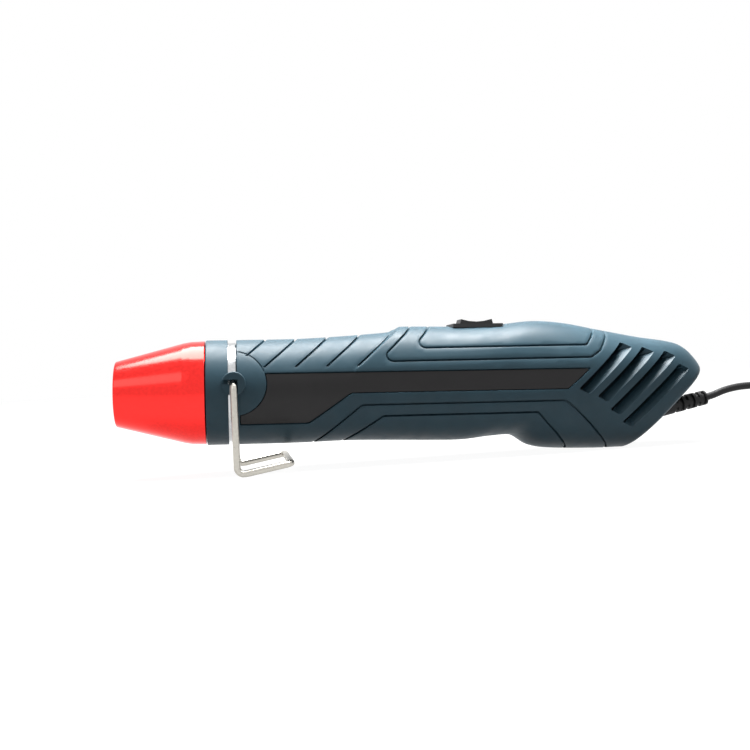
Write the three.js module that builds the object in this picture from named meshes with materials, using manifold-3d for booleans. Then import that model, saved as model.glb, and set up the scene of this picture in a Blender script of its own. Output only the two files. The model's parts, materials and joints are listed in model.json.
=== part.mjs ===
import * as THREE from "three";
import { mergeVertices } from "three/addons/utils/BufferGeometryUtils.js";
import Module from "manifold-3d";

// A small hot air tool with a folding wire stand, lying on its stand and its heel.
// Millimetres. In the tool's own frame x runs back from the front face of the housing along
// the barrel axis, y points to the right-hand side and z points up.

const wasm = await Module();
wasm.setup();

const gap = 0.3; // between pieces that meet
const halfTurn = Math.PI;
const degree = Math.PI / 180;

// Housing
const bodyRadius = 20.5;
const barrelLength = 61; // to the foot of the raised grip, on the top line
const gripLength = 86;
const tailLength = 42.6;
const barrelTop = 22.8; // height of the top line where the barrel meets the grip
const gripTop = 25;
const humpTop = 26.8;
const tailTop = 17.4;
const tipHeight = 7;
const tipChamfer = 11;
const waistDrop = 19.6; // finger recess under the grip
const heelDrop = 25.6; // lowest line of the handle
const gripHalfWidth = 20.1;
const humpHalfWidth = 21;
const tipHalfWidth = 15.2;
const shellWall = 2.2;
const louvreDepth = 8; // side wall at the air inlets
const rearWall = 2.3;
const seamGap = 0.3; // between the two halves
const louvreStart = 22; // ahead of the tail, where the side walls begin to grow
const louvreEnd = 7;
const ribPlaces = [19, 6]; // ahead of the rear end of the heater barrel
const ribThickness = 2.5;
const railInset = 4; // from each end of the circuit board to its rails
const railRise = 2;
const railGrip = 1; // how far a rail reaches over the board's edge
const saddleFront = 2; // round the flange of the strain relief
const saddleRear = 3.2;
const saddleHalfWidth = 7.5;
const saddleRise = 6.2;

// Neck, band and collar at the front
const grooveWidth = 3.3;
const collarLength = 8.4;
const neckDrop = 1.8; // below the surface of the housing
const neckWall = 1.8;
const bandThickness = 0.5;
const bandLap = 3; // how far the band runs under the collar
const collarLip = 1.5;
const collarEdge = 0.3;

// Nozzle
const nozzleLength = 34.7;
const nozzleMouthRadius = 12.6;
const nozzleConeLength = 27.4;
const nozzleWall = 0.8;
const nozzleStep = 0.3; // of its widest place, below the surface of the collar
const nozzleRim = 0.2;
const nozzleFlange = 1;
const shoulderRun = 1.5; // of the rounded shoulder, ahead and behind
const shoulderDrop = 0.75;
const shoulderFlat = 0.2;
const skirtReach = 6; // how far the skirt runs past the front face of the housing

// Wire stand
const wireRadius = 1.3;
const pivotHeight = 3.5;
const pivotSetback = 1.3; // ahead of the front face of the housing
const legStandoff = 3.8; // from the side of the housing to the middle of a leg
const legLength = 34.1;
const legLean = 1.5 * degree;
const footLength = 20.5;
const footRise = 11.5 * degree;
const wireBend = 2.6;
const stubReach = 7; // from a leg inwards to the end of the wire
const capRadius = 4.5;
const capRise = 0.3; // of the cap's rim above the middle of the wire
const swingClearance = 0.1;
const capRoot = 5.5; // how deep the cap's blank starts inside the housing's surface
const boreOvershoot = 2;

// Label recess
const labelDepth = 1.1;
const labelThickness = 0.5;
const labelTop = 7.4;
const labelWaist = -1.1;
const labelFoot = -12.5;
const labelFront = 0.8;
const labelFootEnd = 26.9;
const labelBend = [2.7, 1.2]; // where the foot's edge turns up to the ramp
const labelRampEnd = 43.2;
const labelSetback = 8.3; // from its rear end to the front of the tail
const labelEndLean = 2.8; // draws in the slanted end by this share of a clearance
const pivotDiscRadius = 12.2;

// Diagonal grooves
const grooveCount = 5;
const groovePitch = 11.9;
const grooveWide = 1.3;
const grooveDepth = 1;
const grooveLow = 9.3;
const grooveFirst = 3.5;
const grooveShort = 4.6; // the first one starts higher, above the stand's disc
const grooveSlope = 1.18; // run back for each unit of rise
const grooveTop = 6; // above the housing's radius, clear of the top line

// Air inlets
const ventCount = 4;
const ventPitch = 11.16;
const ventWide = 6.9;
const ventSlope = 1.08; // run back for each unit of rise
const ventSetback = 15.4; // from the rear face to the last slot, along the axis
const ventReach = 7; // the slots stop this far from the middle plane
const ventTops = [17.3, 15.3, 13.6, 8.3];
const ventTopDrop = 2.1; // from a slot's front edge to its rear edge
const ventFeet = [-0.9, -4.1, -9.4, -14.5];
const ventFootDrop = 2.3;

// Rest pad under the heel
const padSetback = 6; // its middle, back from the front of the tail
const padDrop = 25.2;

// Heater
const barrelTubeRadius = 15.5;
const barrelTubeWall = 0.5;
const heaterFront = -20;
const heaterSetback = 27; // from its rear end to the front of the grip
const micaWall = 0.6;
const boardThickness = 0.8;
const coilWireRadius = 0.6;
const coilClearance = 0.35;
const boardClearance = 0.5;
const micaInset = 2;
const boardInset = 4;
const coilPitch = 5;
const coilCurls = 8;
const endPlateThickness = 2;
const endPlateInset = 0.7;
const plateHoleRadius = 4.2;
const plateHoleSpread = 8.6;
const fuseRadius = 1.8;
const fuseLength = 10;

// Housing screws
const screwRadius = 1.3;
const screwHeadRadius = 2.5;
const screwHeadHeight = 2;
const screwLength = 13;
const screwSeat = 7; // from the middle plane to the face under the head
const bossWall = 1.2;
const threadWall = 1.6;
const barrelScrews = [
  [-16.6, 14.5], // x from the front of the grip, and z
  [-17.6, -14],
];
const gripScrew = [-41.6, -13.5]; // x from the front of the tail, and z
const heelScrew = [-13.6, 6.6]; // the same, with z from the lowest line of the handle
const tipScrew = [-10.1, 11.5]; // x from the tip, and z

// Fan and motor
const fanSetback = 15.6; // behind the heater barrel
const fanDepth = 9;
const fanRadius = 15.5;
const fanHubRadius = 5;
const fanBlades = 7;
const bladeThickness = 1;
const bladePitch = 38 * degree;
const bladeInset = 0.7; // at the front and rear of the hub
const bladeRoot = 1.2;
const bladeTipDrop = 0.2;
const bracketThickness = 2.5;
const bracketRadius = 16.8;
const bracketRim = 1.2;
const bracketSeat = 0.8; // round the motor
const windowSweep = 0.5; // half the angle of a window, in radians
const motorRadius = 12.2;
const motorLength = 18;
const motorWall = 0.8;
const motorEdge = 0.6;
const motorCapLength = 3.5;
const motorTabLength = 2.4;
const motorTabSpread = 6;
const motorTabThickness = 0.6;
const motorTabWidth = 2.4;
const shaftRadius = 1;
const shaftTail = 1.6; // into the end cap
const rotorRadius = 8;
const rotorFront = 3; // from the front and rear of the motor
const rotorRear = 2;
const motorScrewSpread = 8;
const motorScrewHeadHeight = 1.2;
const motorScrewHeadRadius = 2.2;
const motorScrewLength = 4.5;
const leadRadius = 0.7; // insulated wires
const leadLane = 16.7; // from the axis to the wires that pass the fan
const laneDrop = 9.3; // of the mains wires, under the board

// Switch
const bezelLength = 20.4;
const bezelWidth = 13.4;
const bezelThickness = 1.5;
const switchLength = 18;
const switchWidth = 11.2;
const switchDepth = 11.5;
const switchLanding = 24; // height of the flat that the bezel sits on
const wellLength = 15.6;
const wellDepth = 7;
const rockerWidth = 8;
const rockerPivotDrop = 3.3; // below the top of the bezel
const rockerPinRadius = 1;
const tabHeight = 6;
const tabSpread = 6.5;
const tabThickness = 0.8;
const tabWidth = 4.8;
const switchLap = 2; // how far the bezel starts ahead of the ends of the motor's tabs
const rockerPinReach = 1;
const rockerPeak = [3.2, 4.45]; // its side view, about the pin
const rockerMiddle = 4.2;
const rockerFoot = -2.4;
const rockerEnd = [
  [6.3, 5.2],
  [6.9, 3],
  [7.4, 0.8],
  [7.3, -1.2],
  [5.5, -2],
];

// Circuit board
const boardLength = 28;
const boardWidth = 24;
const boardSetback = 2; // behind the switch
const pcbThickness = 1.6;
const pcbHeight = -1.4; // height of its upper face
const diodeRadius = 1.2;
const diodeLength = 5;
const diodeInset = 5;
const diodePitch = 4;
const diodeSide = 4; // from the middle plane
const capacitorRadius = 4;
const capacitorHeight = 9;
const capacitorSetback = 8; // from the rear end of the board
const capacitorSide = 6;

// Strain relief, cord and plug
const reliefLength = 36;
const reliefEndRadius = 3;
const reliefBodyRadius = 3.5;
const reliefFlangeRadius = 5;
const reliefFlangeThickness = 2;
const reliefTailRadius = 3;
const reliefTailLength = 1.5;
const reliefAngle = 12 * degree;
const reliefReach = 5.6; // of its outer end, behind the tip
const reliefHeight = -6;
const reliefVisible = 21;
const clampSetback = 3.5; // ahead of the tail
const clampRise = 11.6; // of its middle, above the lowest line of the handle
const clampLength = 12;
const clampWide = 5;
const clampThickness = 2.5;
const clampScrewRadius = 1.1;
const clampScrewSpread = 4.2;
const clampScrewLength = 9;
const clampScrewHeadRadius = 1.9;
const clampScrewHeadHeight = 1.3;
const clampPadRim = 1;
const cordRadius = 1.5;
const cordTurnsPerLayer = 3;
const cordLayers = 4;
const cordPitch = 3.5;
const cordCoilRadius = 23.35; // outermost turn
const cordCoilSetback = 84.4; // from the strain relief to the middle of the coil
const cordStub = 3; // straight run at each end of the coil
const cordTailRun = 41; // from the coil to the plug
const floorClearance = 0.05;
const tieThickness = 0.8;
const tieWidth = 4;
const tieBow = 0.4; // the turns curve away over the width of the tie
const plugWidth = 35.3;
const plugThickness = 13.7;
const plugLength = 34;
const plugNeckLength = 14;
const plugNeckRadii = [2.6, 4.6];
const plugShoulder = [
  [-1, 5], // x from the end of the neck, and half width
  [5, 8.5],
  [11, 15.5],
];
const plugShoulderEnd = 15;
const plugMiddle = -9;
const pinRadius = 2;
const pinLength = 19;
const pinSpread = 18.6;
const pinRoot = 8;
const pinTip = [1.2, 1]; // length and depth of its bevel
const beyond = 90; // reach of cutting blocks that pass right through

// Places worked out from the sizes above
const gripFront = barrelLength;
const tailFront = gripFront + gripLength;
const tipPlace = tailFront + tailLength;
const rearSlant = tipPlace - tipHeight; // x minus z on the rear face
const neckRadius = bodyRadius - neckDrop;
const nozzleRadius = bodyRadius - nozzleStep;
const legSpread = bodyRadius + legStandoff; // from the middle plane to a leg
const labelEnd = tailFront - labelSetback;
const padPlace = tailFront + padSetback;
const clampPlace = tailFront - clampSetback;
const clampHeight = clampRise - heelDrop;
const reliefEnd = [tipPlace + reliefReach, reliefHeight]; // x and z of its outer end
const screwPlaces = [
  ...barrelScrews.map(([x, z]) => [gripFront + x, z]),
  [tailFront + gripScrew[0], gripScrew[1]],
  [tailFront + heelScrew[0], heelScrew[1] - heelDrop],
  [tipPlace + tipScrew[0], tipScrew[1]],
];
const collarRear = -grooveWidth;
const collarFront = collarRear - collarLength;
const neckFront = collarFront + collarLip + gap;
const neckBore = neckRadius - neckWall;
const skirtRadius = neckBore - gap;
const nozzleRear = collarFront - gap;
const nozzleFront = nozzleRear - nozzleLength + gap;
const pivot = [-pivotSetback, pivotHeight];
const stubBore = [neckBore - boreOvershoot, legSpread + boreOvershoot];
const screwHole = screwRadius + gap;
const heaterRear = gripFront - heaterSetback;
const fanFront = heaterRear + fanSetback;
const fanRear = fanFront + fanDepth;
const bracketFront = fanRear + motorScrewHeadHeight + 4 * gap;
const bracketRear = bracketFront + bracketThickness;
const motorFront = bracketRear + gap;
const motorRear = motorFront + motorLength;
const motorCapRear = motorRear + gap + motorCapLength;
const switchFront = motorCapRear + motorTabLength - switchLap;
const switchMiddle = switchFront + bezelLength / 2;
const bezelTop = switchLanding + gap + bezelThickness;
const boardFront = switchFront + bezelLength + boardSetback;

// Materials
const slate = finish(0x2f4a58, 0.55, 0.0);
const red = finish(0xd81e1a, 0.15, 1.0);
const steel = finish(0xc9ccd0, 0.25, 1.0);
const black = finish(0x17181a, 0.5, 0.0);
const mica = finish(0xb8a67c, 0.6, 0.0);
const ceramic = finish(0xe9e4d8, 0.7, 0.0);
const nichrome = finish(0x7d746b, 0.45, 1.0);
const copper = finish(0xb06a3c, 0.4, 1.0);
const green = finish(0x1f5a36, 0.5, 0.0);
const brass = finish(0xc8a24a, 0.35, 1.0);
const brown = finish(0x5b3420, 0.5, 0.0);
const blue = finish(0x1f4f9c, 0.5, 0.0);
const amber = finish(0xc98a2b, 0.5, 0.0);
const grey = finish(0x8b8f92, 0.5, 0.0);

function finish(color, roughness, metalness) {
  return new THREE.MeshStandardMaterial({ color, roughness, metalness, flatShading: true });
}

// A closed mesh as a solid that can be joined and cut, whichever way its faces point.
function solid(geometry) {
  const bare = geometry.clone();
  bare.deleteAttribute("normal");
  bare.deleteAttribute("uv");
  const merged = mergeVertices(bare, 1e-4);
  const corners = merged.attributes.position.array;
  const faces = new Uint32Array(merged.index.array);
  const made = new wasm.Manifold(
    new wasm.Mesh({ numProp: 3, vertProperties: corners, triVerts: faces }),
  );
  if (made.volume() > 0) return made;
  const turned = faces.map((_, i) => faces[i % 3 === 1 ? i + 1 : i % 3 === 2 ? i - 1 : i]);
  return new wasm.Manifold(
    new wasm.Mesh({ numProp: 3, vertProperties: corners, triVerts: turned }),
  );
}

function geometryOf(made) {
  const mesh = made.getMesh();
  const geometry = new THREE.BufferGeometry();
  const corners = new Float32Array(mesh.numVert * 3);
  for (let i = 0; i < mesh.numVert; i++) {
    for (let k = 0; k < 3; k++) corners[3 * i + k] = mesh.vertProperties[i * mesh.numProp + k];
  }
  geometry.setAttribute("position", new THREE.BufferAttribute(corners, 3));
  geometry.setIndex(Array.from(mesh.triVerts));
  geometry.computeVertexNormals();
  return geometry;
}

// Basic solids in the tool's frame
function block(x0, x1, y0, y1, z0, z1) {
  const box = new THREE.BoxGeometry(x1 - x0, y1 - y0, z1 - z0);
  return solid(box.translate((x0 + x1) / 2, (y0 + y1) / 2, (z0 + z1) / 2));
}

function rodAlongX(x0, x1, radius, y = 0, z = 0, sides = 24) {
  const rod = new THREE.CylinderGeometry(radius, radius, x1 - x0, sides);
  return solid(rod.rotateZ(halfTurn / 2).translate((x0 + x1) / 2, y, z));
}

function rodAlongY(y0, y1, radius, x, z, sides = 20) {
  const rod = new THREE.CylinderGeometry(radius, radius, y1 - y0, sides);
  return solid(rod.translate(x, (y0 + y1) / 2, z));
}

function rodAlongZ(z0, z1, radius, x, y, sides = 20) {
  const rod = new THREE.CylinderGeometry(radius, radius, z1 - z0, sides);
  return solid(rod.rotateX(halfTurn / 2).translate(x, y, (z0 + z1) / 2));
}

// A profile of [x, radius] points, closed on itself or on the axis, turned about the x axis.
function turned(profile, sides = 36) {
  const points = [...profile, profile[0]].map(([x, r]) => new THREE.Vector2(r, x));
  const lathe = new THREE.LatheGeometry(points, sides);
  return solid(lathe.rotateZ(-halfTurn / 2));
}

function tube(x0, x1, outer, inner, sides = 24) {
  return turned([[x0, outer], [x1, outer], [x1, inner], [x0, inner]], sides);
}

// An outline of [x, z] points carried from y0 to y1.
function plate(outline, y0, y1) {
  const shape = new THREE.Shape(outline.map(([x, z]) => new THREE.Vector2(x, z)));
  const flat = new THREE.ExtrudeGeometry(shape, { depth: y1 - y0, bevelEnabled: false });
  return solid(flat.rotateX(halfTurn / 2).translate(0, y1, 0));
}

// A path that is swept exactly from station to station.
class Stations extends THREE.Curve {
  constructor(points) {
    super();
    this.points = points;
  }

  getPoint(t, target = new THREE.Vector3()) {
    const last = this.points.length - 1;
    const at = Math.min(Math.max(t, 0), 1) * last;
    const i = Math.min(Math.floor(at + 1e-9), last - 1);
    return target.copy(this.points[i]).lerp(this.points[i + 1], at - i);
  }

  getPointAt(u, target) {
    return this.getPoint(u, target);
  }

  getTangentAt(u, target = new THREE.Vector3()) {
    const last = this.points.length - 1;
    const i = Math.round(u * last);
    const before = this.points[Math.max(i - 1, 0)];
    const after = this.points[Math.min(i + 1, last)];
    const ahead = after.clone().sub(this.points[i]).normalize();
    const behind = this.points[i].clone().sub(before).normalize();
    return target.copy(ahead).add(behind).normalize();
  }

  getTangent(t, target) {
    return this.getTangentAt(t, target);
  }
}

// A round wire or cord of the given sides along a list of points.
function swept(points, radius, sides) {
  const section = new THREE.Shape();
  for (let i = 0; i < sides; i++) {
    const a = ((i + 0.5) / sides) * 2 * halfTurn;
    section[i ? "lineTo" : "moveTo"](radius * Math.cos(a), radius * Math.sin(a));
  }
  const settings = { steps: points.length - 1, bevelEnabled: false };
  settings.extrudePath = new Stations(points);
  return solid(new THREE.ExtrudeGeometry(section, settings));
}

// Corners joined by straight runs, with an arc of the given radius at each inner corner.
function bentPath(corners, radius, steps) {
  const path = [corners[0]];
  for (let i = 1; i < corners.length - 1; i++) {
    const into = corners[i].clone().sub(corners[i - 1]).normalize();
    const out = corners[i + 1].clone().sub(corners[i]).normalize();
    const turn = into.angleTo(out);
    const reach = radius * Math.tan(turn / 2);
    const start = corners[i].clone().addScaledVector(into, -reach);
    const side = out.clone().addScaledVector(into, -out.dot(into)).normalize();
    const centre = start.clone().addScaledVector(side, radius);
    for (let k = 0; k <= steps; k++) {
      const a = (turn * k) / steps;
      const point = centre.clone();
      point.addScaledVector(into, radius * Math.sin(a));
      point.addScaledVector(side, -radius * Math.cos(a));
      path.push(point);
    }
  }
  path.push(corners[corners.length - 1]);
  return path;
}

// A smooth line through [x, y, z] points, in steps of about the given length. Its first and last
// runs are straight, so that its ends are square to what they meet.
function smoothPath(points, step) {
  const corners = points.map((p) => new THREE.Vector3(...p));
  const curve = new THREE.CatmullRomCurve3(corners, false, "centripetal");
  const last = points.length - 1;
  const fine = [];
  const along = [0];
  for (let i = 0; i <= 400; i++) {
    fine.push(curve.getPoint((1 + ((last - 2) * i) / 400) / last));
    if (i) along.push(along[i - 1] + fine[i].distanceTo(fine[i - 1]));
  }
  const count = Math.max(2, Math.round(along[400] / step));
  const path = [corners[0]];
  for (let k = 0; k <= count; k++) {
    const want = (along[400] * k) / count;
    const i = Math.min(along.findIndex((v) => v >= want - 1e-9), 400);
    path.push(fine[i]);
  }
  path.push(corners[last]);
  return path;
}

// A smooth line through [x, value] points, straight past its last ones.
function lineThrough(points) {
  const slopes = points.map((_, i) => {
    const a = points[Math.max(i - 1, 0)];
    const b = points[Math.min(i + 1, points.length - 1)];
    return (b[1] - a[1]) / (b[0] - a[0]);
  });
  return (x) => {
    const last = points.length - 1;
    if (x <= points[0][0]) return points[0][1];
    if (x >= points[last][0]) return points[last][1] + (x - points[last][0]) * slopes[last];
    const i = points.findIndex((p) => p[0] > x) - 1;
    const [x0, v0] = points[i];
    const [x1, v1] = points[i + 1];
    const width = x1 - x0;
    const t = (x - x0) / width;
    const bend0 = (2 * t ** 3 - 3 * t ** 2 + 1) * v0 + (t ** 3 - 2 * t ** 2 + t) * width * slopes[i];
    const bend1 = (3 * t ** 2 - 2 * t ** 3) * v1 + (t ** 3 - t ** 2) * width * slopes[i + 1];
    return bend0 + bend1;
  };
}

// Outline of the housing
const topOfBarrel = lineThrough([
  [0, bodyRadius],
  [0.4 * gripFront, bodyRadius + 0.2],
  [0.72 * gripFront, (bodyRadius + barrelTop) / 2],
  [gripFront, barrelTop],
  [gripFront + 20, barrelTop + 0.4],
]);
const topOfGrip = lineThrough([
  [gripFront, gripTop],
  [gripFront + 0.09 * gripLength, gripTop + 0.1],
  [gripFront + 0.37 * gripLength, gripTop - 0.1],
  [gripFront + 0.53 * gripLength, (2 * gripTop + humpTop) / 3],
  [gripFront + 0.68 * gripLength, humpTop],
  [gripFront + 0.83 * gripLength, humpTop - 0.9],
  [tailFront, (3 * humpTop + 2 * tailTop) / 5],
  [tailFront + 0.4 * tailLength, (humpTop + 3 * tailTop) / 4],
  [tipPlace - tipChamfer, tailTop],
  [tipPlace - 0.54 * tipChamfer, (3 * tailTop + tipHeight) / 4],
  [tipPlace - 0.18 * tipChamfer, (tailTop + 2 * tipHeight) / 3],
  [tipPlace, tipHeight],
]);
const bottomLine = lineThrough([
  [0, -bodyRadius],
  [0.4 * gripFront, -bodyRadius + 0.1],
  [0.74 * gripFront, -bodyRadius + 0.5],
  [gripFront + 0.27 * gripLength, -bodyRadius - 0.4],
  [gripFront + 0.35 * gripLength, -bodyRadius - 0.2],
  [gripFront + 0.47 * gripLength, -waistDrop],
  [gripFront + 0.575 * gripLength, -waistDrop],
  [gripFront + 0.655 * gripLength, (-2 * heelDrop - waistDrop) / 3],
  [gripFront + 0.73 * gripLength, -heelDrop + 0.7],
  [tailFront - 4, -heelDrop],
  [rearSlant, -heelDrop],
]);
const halfWidth = lineThrough([
  [0, bodyRadius],
  [0.4 * gripFront, bodyRadius - 0.1],
  [gripFront, gripHalfWidth],
  [gripFront + 0.38 * gripLength, gripHalfWidth + 0.1],
  [gripFront + 0.68 * gripLength, humpHalfWidth],
  [tailFront - 7, humpHalfWidth - 0.4],
  [tailFront + 0.4 * tailLength, (humpHalfWidth + tipHalfWidth) / 2 + 0.5],
  [tipPlace, tipHalfWidth],
]);
const fullness = lineThrough([
  [0, 2],
  [0.3 * gripFront, 2.05],
  [gripFront, 2.2],
  [gripFront + 0.68 * gripLength, 2.35],
  [tailFront, 2.6],
  [tipPlace, 3],
]);
const widestHeight = lineThrough([
  [0, 0],
  [gripFront + 0.68 * gripLength, 0],
  [tailFront, -1.5],
  [tipPlace, -5],
]);

// Where a slanted ring plane x = place + slope * z meets a line z = line(x) + shift.
function meeting(line, place, slope, shift, low, high) {
  for (let i = 0; i < 40; i++) {
    const z = (low + high) / 2;
    if (z < line(place + slope * z) + shift) low = z;
    else high = z;
  }
  return (low + high) / 2;
}

// One ring of the housing's surface, set in from the outside at the top and at the sides.
function ring({ place, slope, top }, insetTop, insetSide, count) {
  const upper = meeting(top, place, slope, -insetTop, -10, 40);
  const lower = meeting(bottomLine, place, slope, insetTop, -40, 0);
  const middle = Math.min(widestHeight(place), upper - 0.5);
  const width = halfWidth(place + slope * middle) - insetSide;
  const power = fullness(place);
  return Array.from({ length: count }, (_, i) => {
    const a = (i / count) * 2 * halfTurn;
    const across = Math.cos(a);
    const rise = Math.sin(a);
    const reach = (Math.abs(across) ** power + Math.abs(rise) ** power) ** (-1 / power);
    const height = rise > 0 ? upper - middle : middle - lower;
    const z = middle + height * reach * rise;
    const y = Math.abs(across) < 1e-9 ? 0 : width * reach * across;
    return [place + slope * z, y, z];
  });
}

// Rings of equal count skinned into one closed solid.
function skinned(rings) {
  const count = rings[0].length;
  const corners = rings.flat(2);
  const faces = [];
  for (let r = 0; r + 1 < rings.length; r++) {
    for (let i = 0; i < count; i++) {
      const a = r * count + i;
      const b = r * count + ((i + 1) % count);
      faces.push(a, b, a + count, b, b + count, a + count);
    }
  }
  for (const r of [0, rings.length - 1]) {
    const middle = corners.length / 3;
    const sum = [0, 1, 2].map((k) => rings[r].reduce((all, p) => all + p[k], 0) / count);
    corners.push(...sum);
    for (let i = 0; i < count; i++) {
      const a = r * count + i;
      const b = r * count + ((i + 1) % count);
      faces.push(...(r ? [a, b, middle] : [b, a, middle]));
    }
  }
  const geometry = new THREE.BufferGeometry();
  geometry.setAttribute("position", new THREE.Float32BufferAttribute(corners, 3));
  geometry.setIndex(faces);
  return solid(geometry);
}

// Ring planes: square at the front face, then leaning back to the slant of the grip's front
// edge and of the rear face. The two rings of the step up to the grip share one slant.
const ringPoints = 24;
const stepSlope = 1.09;
const stepPlace = gripFront - stepSlope * barrelTop;
const ringPlaces = [
  { place: 0, slope: 0, top: topOfBarrel },
  { place: 0.5 * stepPlace, slope: 0.55, top: topOfBarrel },
  { place: stepPlace, slope: stepSlope, top: topOfBarrel },
  { place: stepPlace + 0.4, slope: stepSlope, top: topOfGrip },
];
const gripRings = [0.15, 0.27, 0.37, 0.47, 0.568, 0.63, 0.697, 0.745];
const tailRings = [0.8, 0.857, 0.91, 0.96, 1];
for (const share of [...gripRings, ...tailRings]) {
  const place = stepPlace + (rearSlant - stepPlace) * share;
  ringPlaces.push({ place, slope: 1.09 - 0.09 * Math.min(1, share / 0.6), top: topOfGrip });
}

function bodySkin(inset) {
  return skinned(ringPlaces.map((where) => ring(where, inset, inset, ringPoints)));
}

// The hollow of the housing: its side walls grow to the depth of the louvres at the tail.
function hollow() {
  const places = [{ place: shellWall + gap, slope: 0, top: topOfBarrel }];
  places.push(...ringPlaces.slice(1).filter((_, i) => i < 3 || i % 2));
  const rings = places.map((where) => {
    const { place } = where;
    const tail = THREE.MathUtils.smoothstep(place, tailFront - louvreStart, tailFront - louvreEnd);
    return ring(where, shellWall, shellWall + (louvreDepth - shellWall) * tail, 20);
  });
  const inside = skinned(rings);
  const behind = rearSlant - rearWall * Math.SQRT2;
  const ahead = [
    [-beyond, -beyond],
    [behind - beyond, -beyond],
    [behind + beyond, beyond],
    [-beyond, beyond],
  ];
  return inside.intersect(plate(ahead, -beyond, beyond));
}

// Outline of the label recess, or of the plate in it when inset by a clearance.
function labelOutline(inset) {
  const front = labelFront + inset;
  const top = labelTop - inset;
  const waist = labelWaist + inset;
  const foot = labelFoot + inset;
  const lean = grooveSlope * (top - waist);
  const arcRadius = pivotDiscRadius + inset;
  const endTop = labelEnd - labelEndLean * inset;
  const footEnd = labelFootEnd - inset;
  const points = [
    [front, foot],
    [footEnd, foot],
    [footEnd + labelBend[0], foot + labelBend[1]],
    [labelRampEnd - inset, waist],
    [endTop - lean, waist],
    [endTop, top],
  ];
  const start = Math.asin((top - pivotHeight) / arcRadius);
  const stop = -Math.acos((front - pivot[0]) / arcRadius);
  for (let i = 0; i <= 8; i++) {
    const a = start + ((stop - start) * i) / 8;
    points.push([pivot[0] + arcRadius * Math.cos(a), pivot[1] + arcRadius * Math.sin(a)]);
  }
  return points;
}

function grooveOutline(index) {
  const low = index ? grooveLow : grooveLow + grooveShort;
  const foot = grooveFirst + groovePitch * (index - 0.5) + grooveSlope * (low - grooveLow);
  const high = bodyRadius + grooveTop;
  const run = grooveSlope * (high - low);
  return [
    [foot, low],
    [foot + grooveWide, low],
    [foot + grooveWide + run, high],
    [foot + run, high],
  ];
}

function ventOutline(index) {
  const left = rearSlant - ventSetback - ventPitch * (ventCount - 1 - index);
  const right = left + ventWide;
  const corners = [
    [left, ventFeet[index]],
    [right, ventFeet[index] - ventFootDrop],
    [right, ventTops[index] - ventTopDrop],
    [left, ventTops[index]],
  ];
  return corners.map(([x, z]) => [x + ventSlope * z, z]);
}

// Wire stand, one half mirrored to the other
const corner = new THREE.Vector3(
  pivot[0] + legLength * Math.sin(legLean),
  -legSpread,
  pivot[1] - legLength * Math.cos(legLean),
);
const toe = new THREE.Vector3(
  corner.x + footLength * Math.cos(footRise),
  -legSpread,
  corner.z + footLength * Math.sin(footRise),
);
const standCorners = [
  new THREE.Vector3(pivot[0], stubReach - legSpread, pivot[1]),
  new THREE.Vector3(pivot[0], -legSpread, pivot[1]),
  corner,
  toe,
  new THREE.Vector3(toe.x, 0, toe.z),
];
const standPath = bentPath(standCorners, wireBend, 3);
const leftStand = swept(standPath, wireRadius, 8);
const standSolid = leftStand.add(leftStand.mirror([0, 1, 0]));

// The tool leans on the bends of its stand and on the pad under its heel: the lean at which
// both are equally low is found by halving.
const standVertices = leftStand.getMesh().vertProperties;
function lowestOfStand(lean) {
  let low = Infinity;
  for (let i = 0; i < standVertices.length; i += 3) {
    const z = standVertices[i + 2] * Math.cos(lean) - standVertices[i] * Math.sin(lean);
    low = Math.min(low, z);
  }
  return low;
}
function padHeight(lean) {
  return -padDrop * Math.cos(lean) - padPlace * Math.sin(lean);
}
let leanLow = -0.2;
let leanHigh = 0.3;
for (let i = 0; i < 50; i++) {
  const middle = (leanLow + leanHigh) / 2;
  if (padHeight(middle) > lowestOfStand(middle)) leanLow = middle;
  else leanHigh = middle;
}
const toolLean = (leanLow + leanHigh) / 2;
const floorDrop = -padHeight(toolLean);

// Strain relief, turned about its own slanted axis
function placedOnRelief(made) {
  return made
    .rotate([0, -reliefAngle / degree, 0])
    .translate([reliefEnd[0], 0, reliefEnd[1]]);
}
function reliefSolid(clearance) {
  const inner = -reliefLength - clearance;
  const flange = inner + reliefTailLength;
  const flangeEnd = flange + reliefFlangeThickness + 2 * clearance;
  return placedOnRelief(
    turned(
      [
        [inner, 0],
        [inner, reliefTailRadius + clearance],
        [flange, reliefTailRadius + clearance],
        [flange, reliefFlangeRadius + clearance],
        [flangeEnd, reliefFlangeRadius + clearance],
        [flangeEnd, reliefBodyRadius + clearance],
        [-reliefVisible, reliefBodyRadius + clearance],
        [0, reliefEndRadius + clearance],
        [0, 0],
      ],
      16,
    ),
  );
}
function onRelief(along) {
  return [
    reliefEnd[0] + along * Math.cos(reliefAngle),
    reliefEnd[1] + along * Math.sin(reliefAngle),
  ];
}

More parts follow.
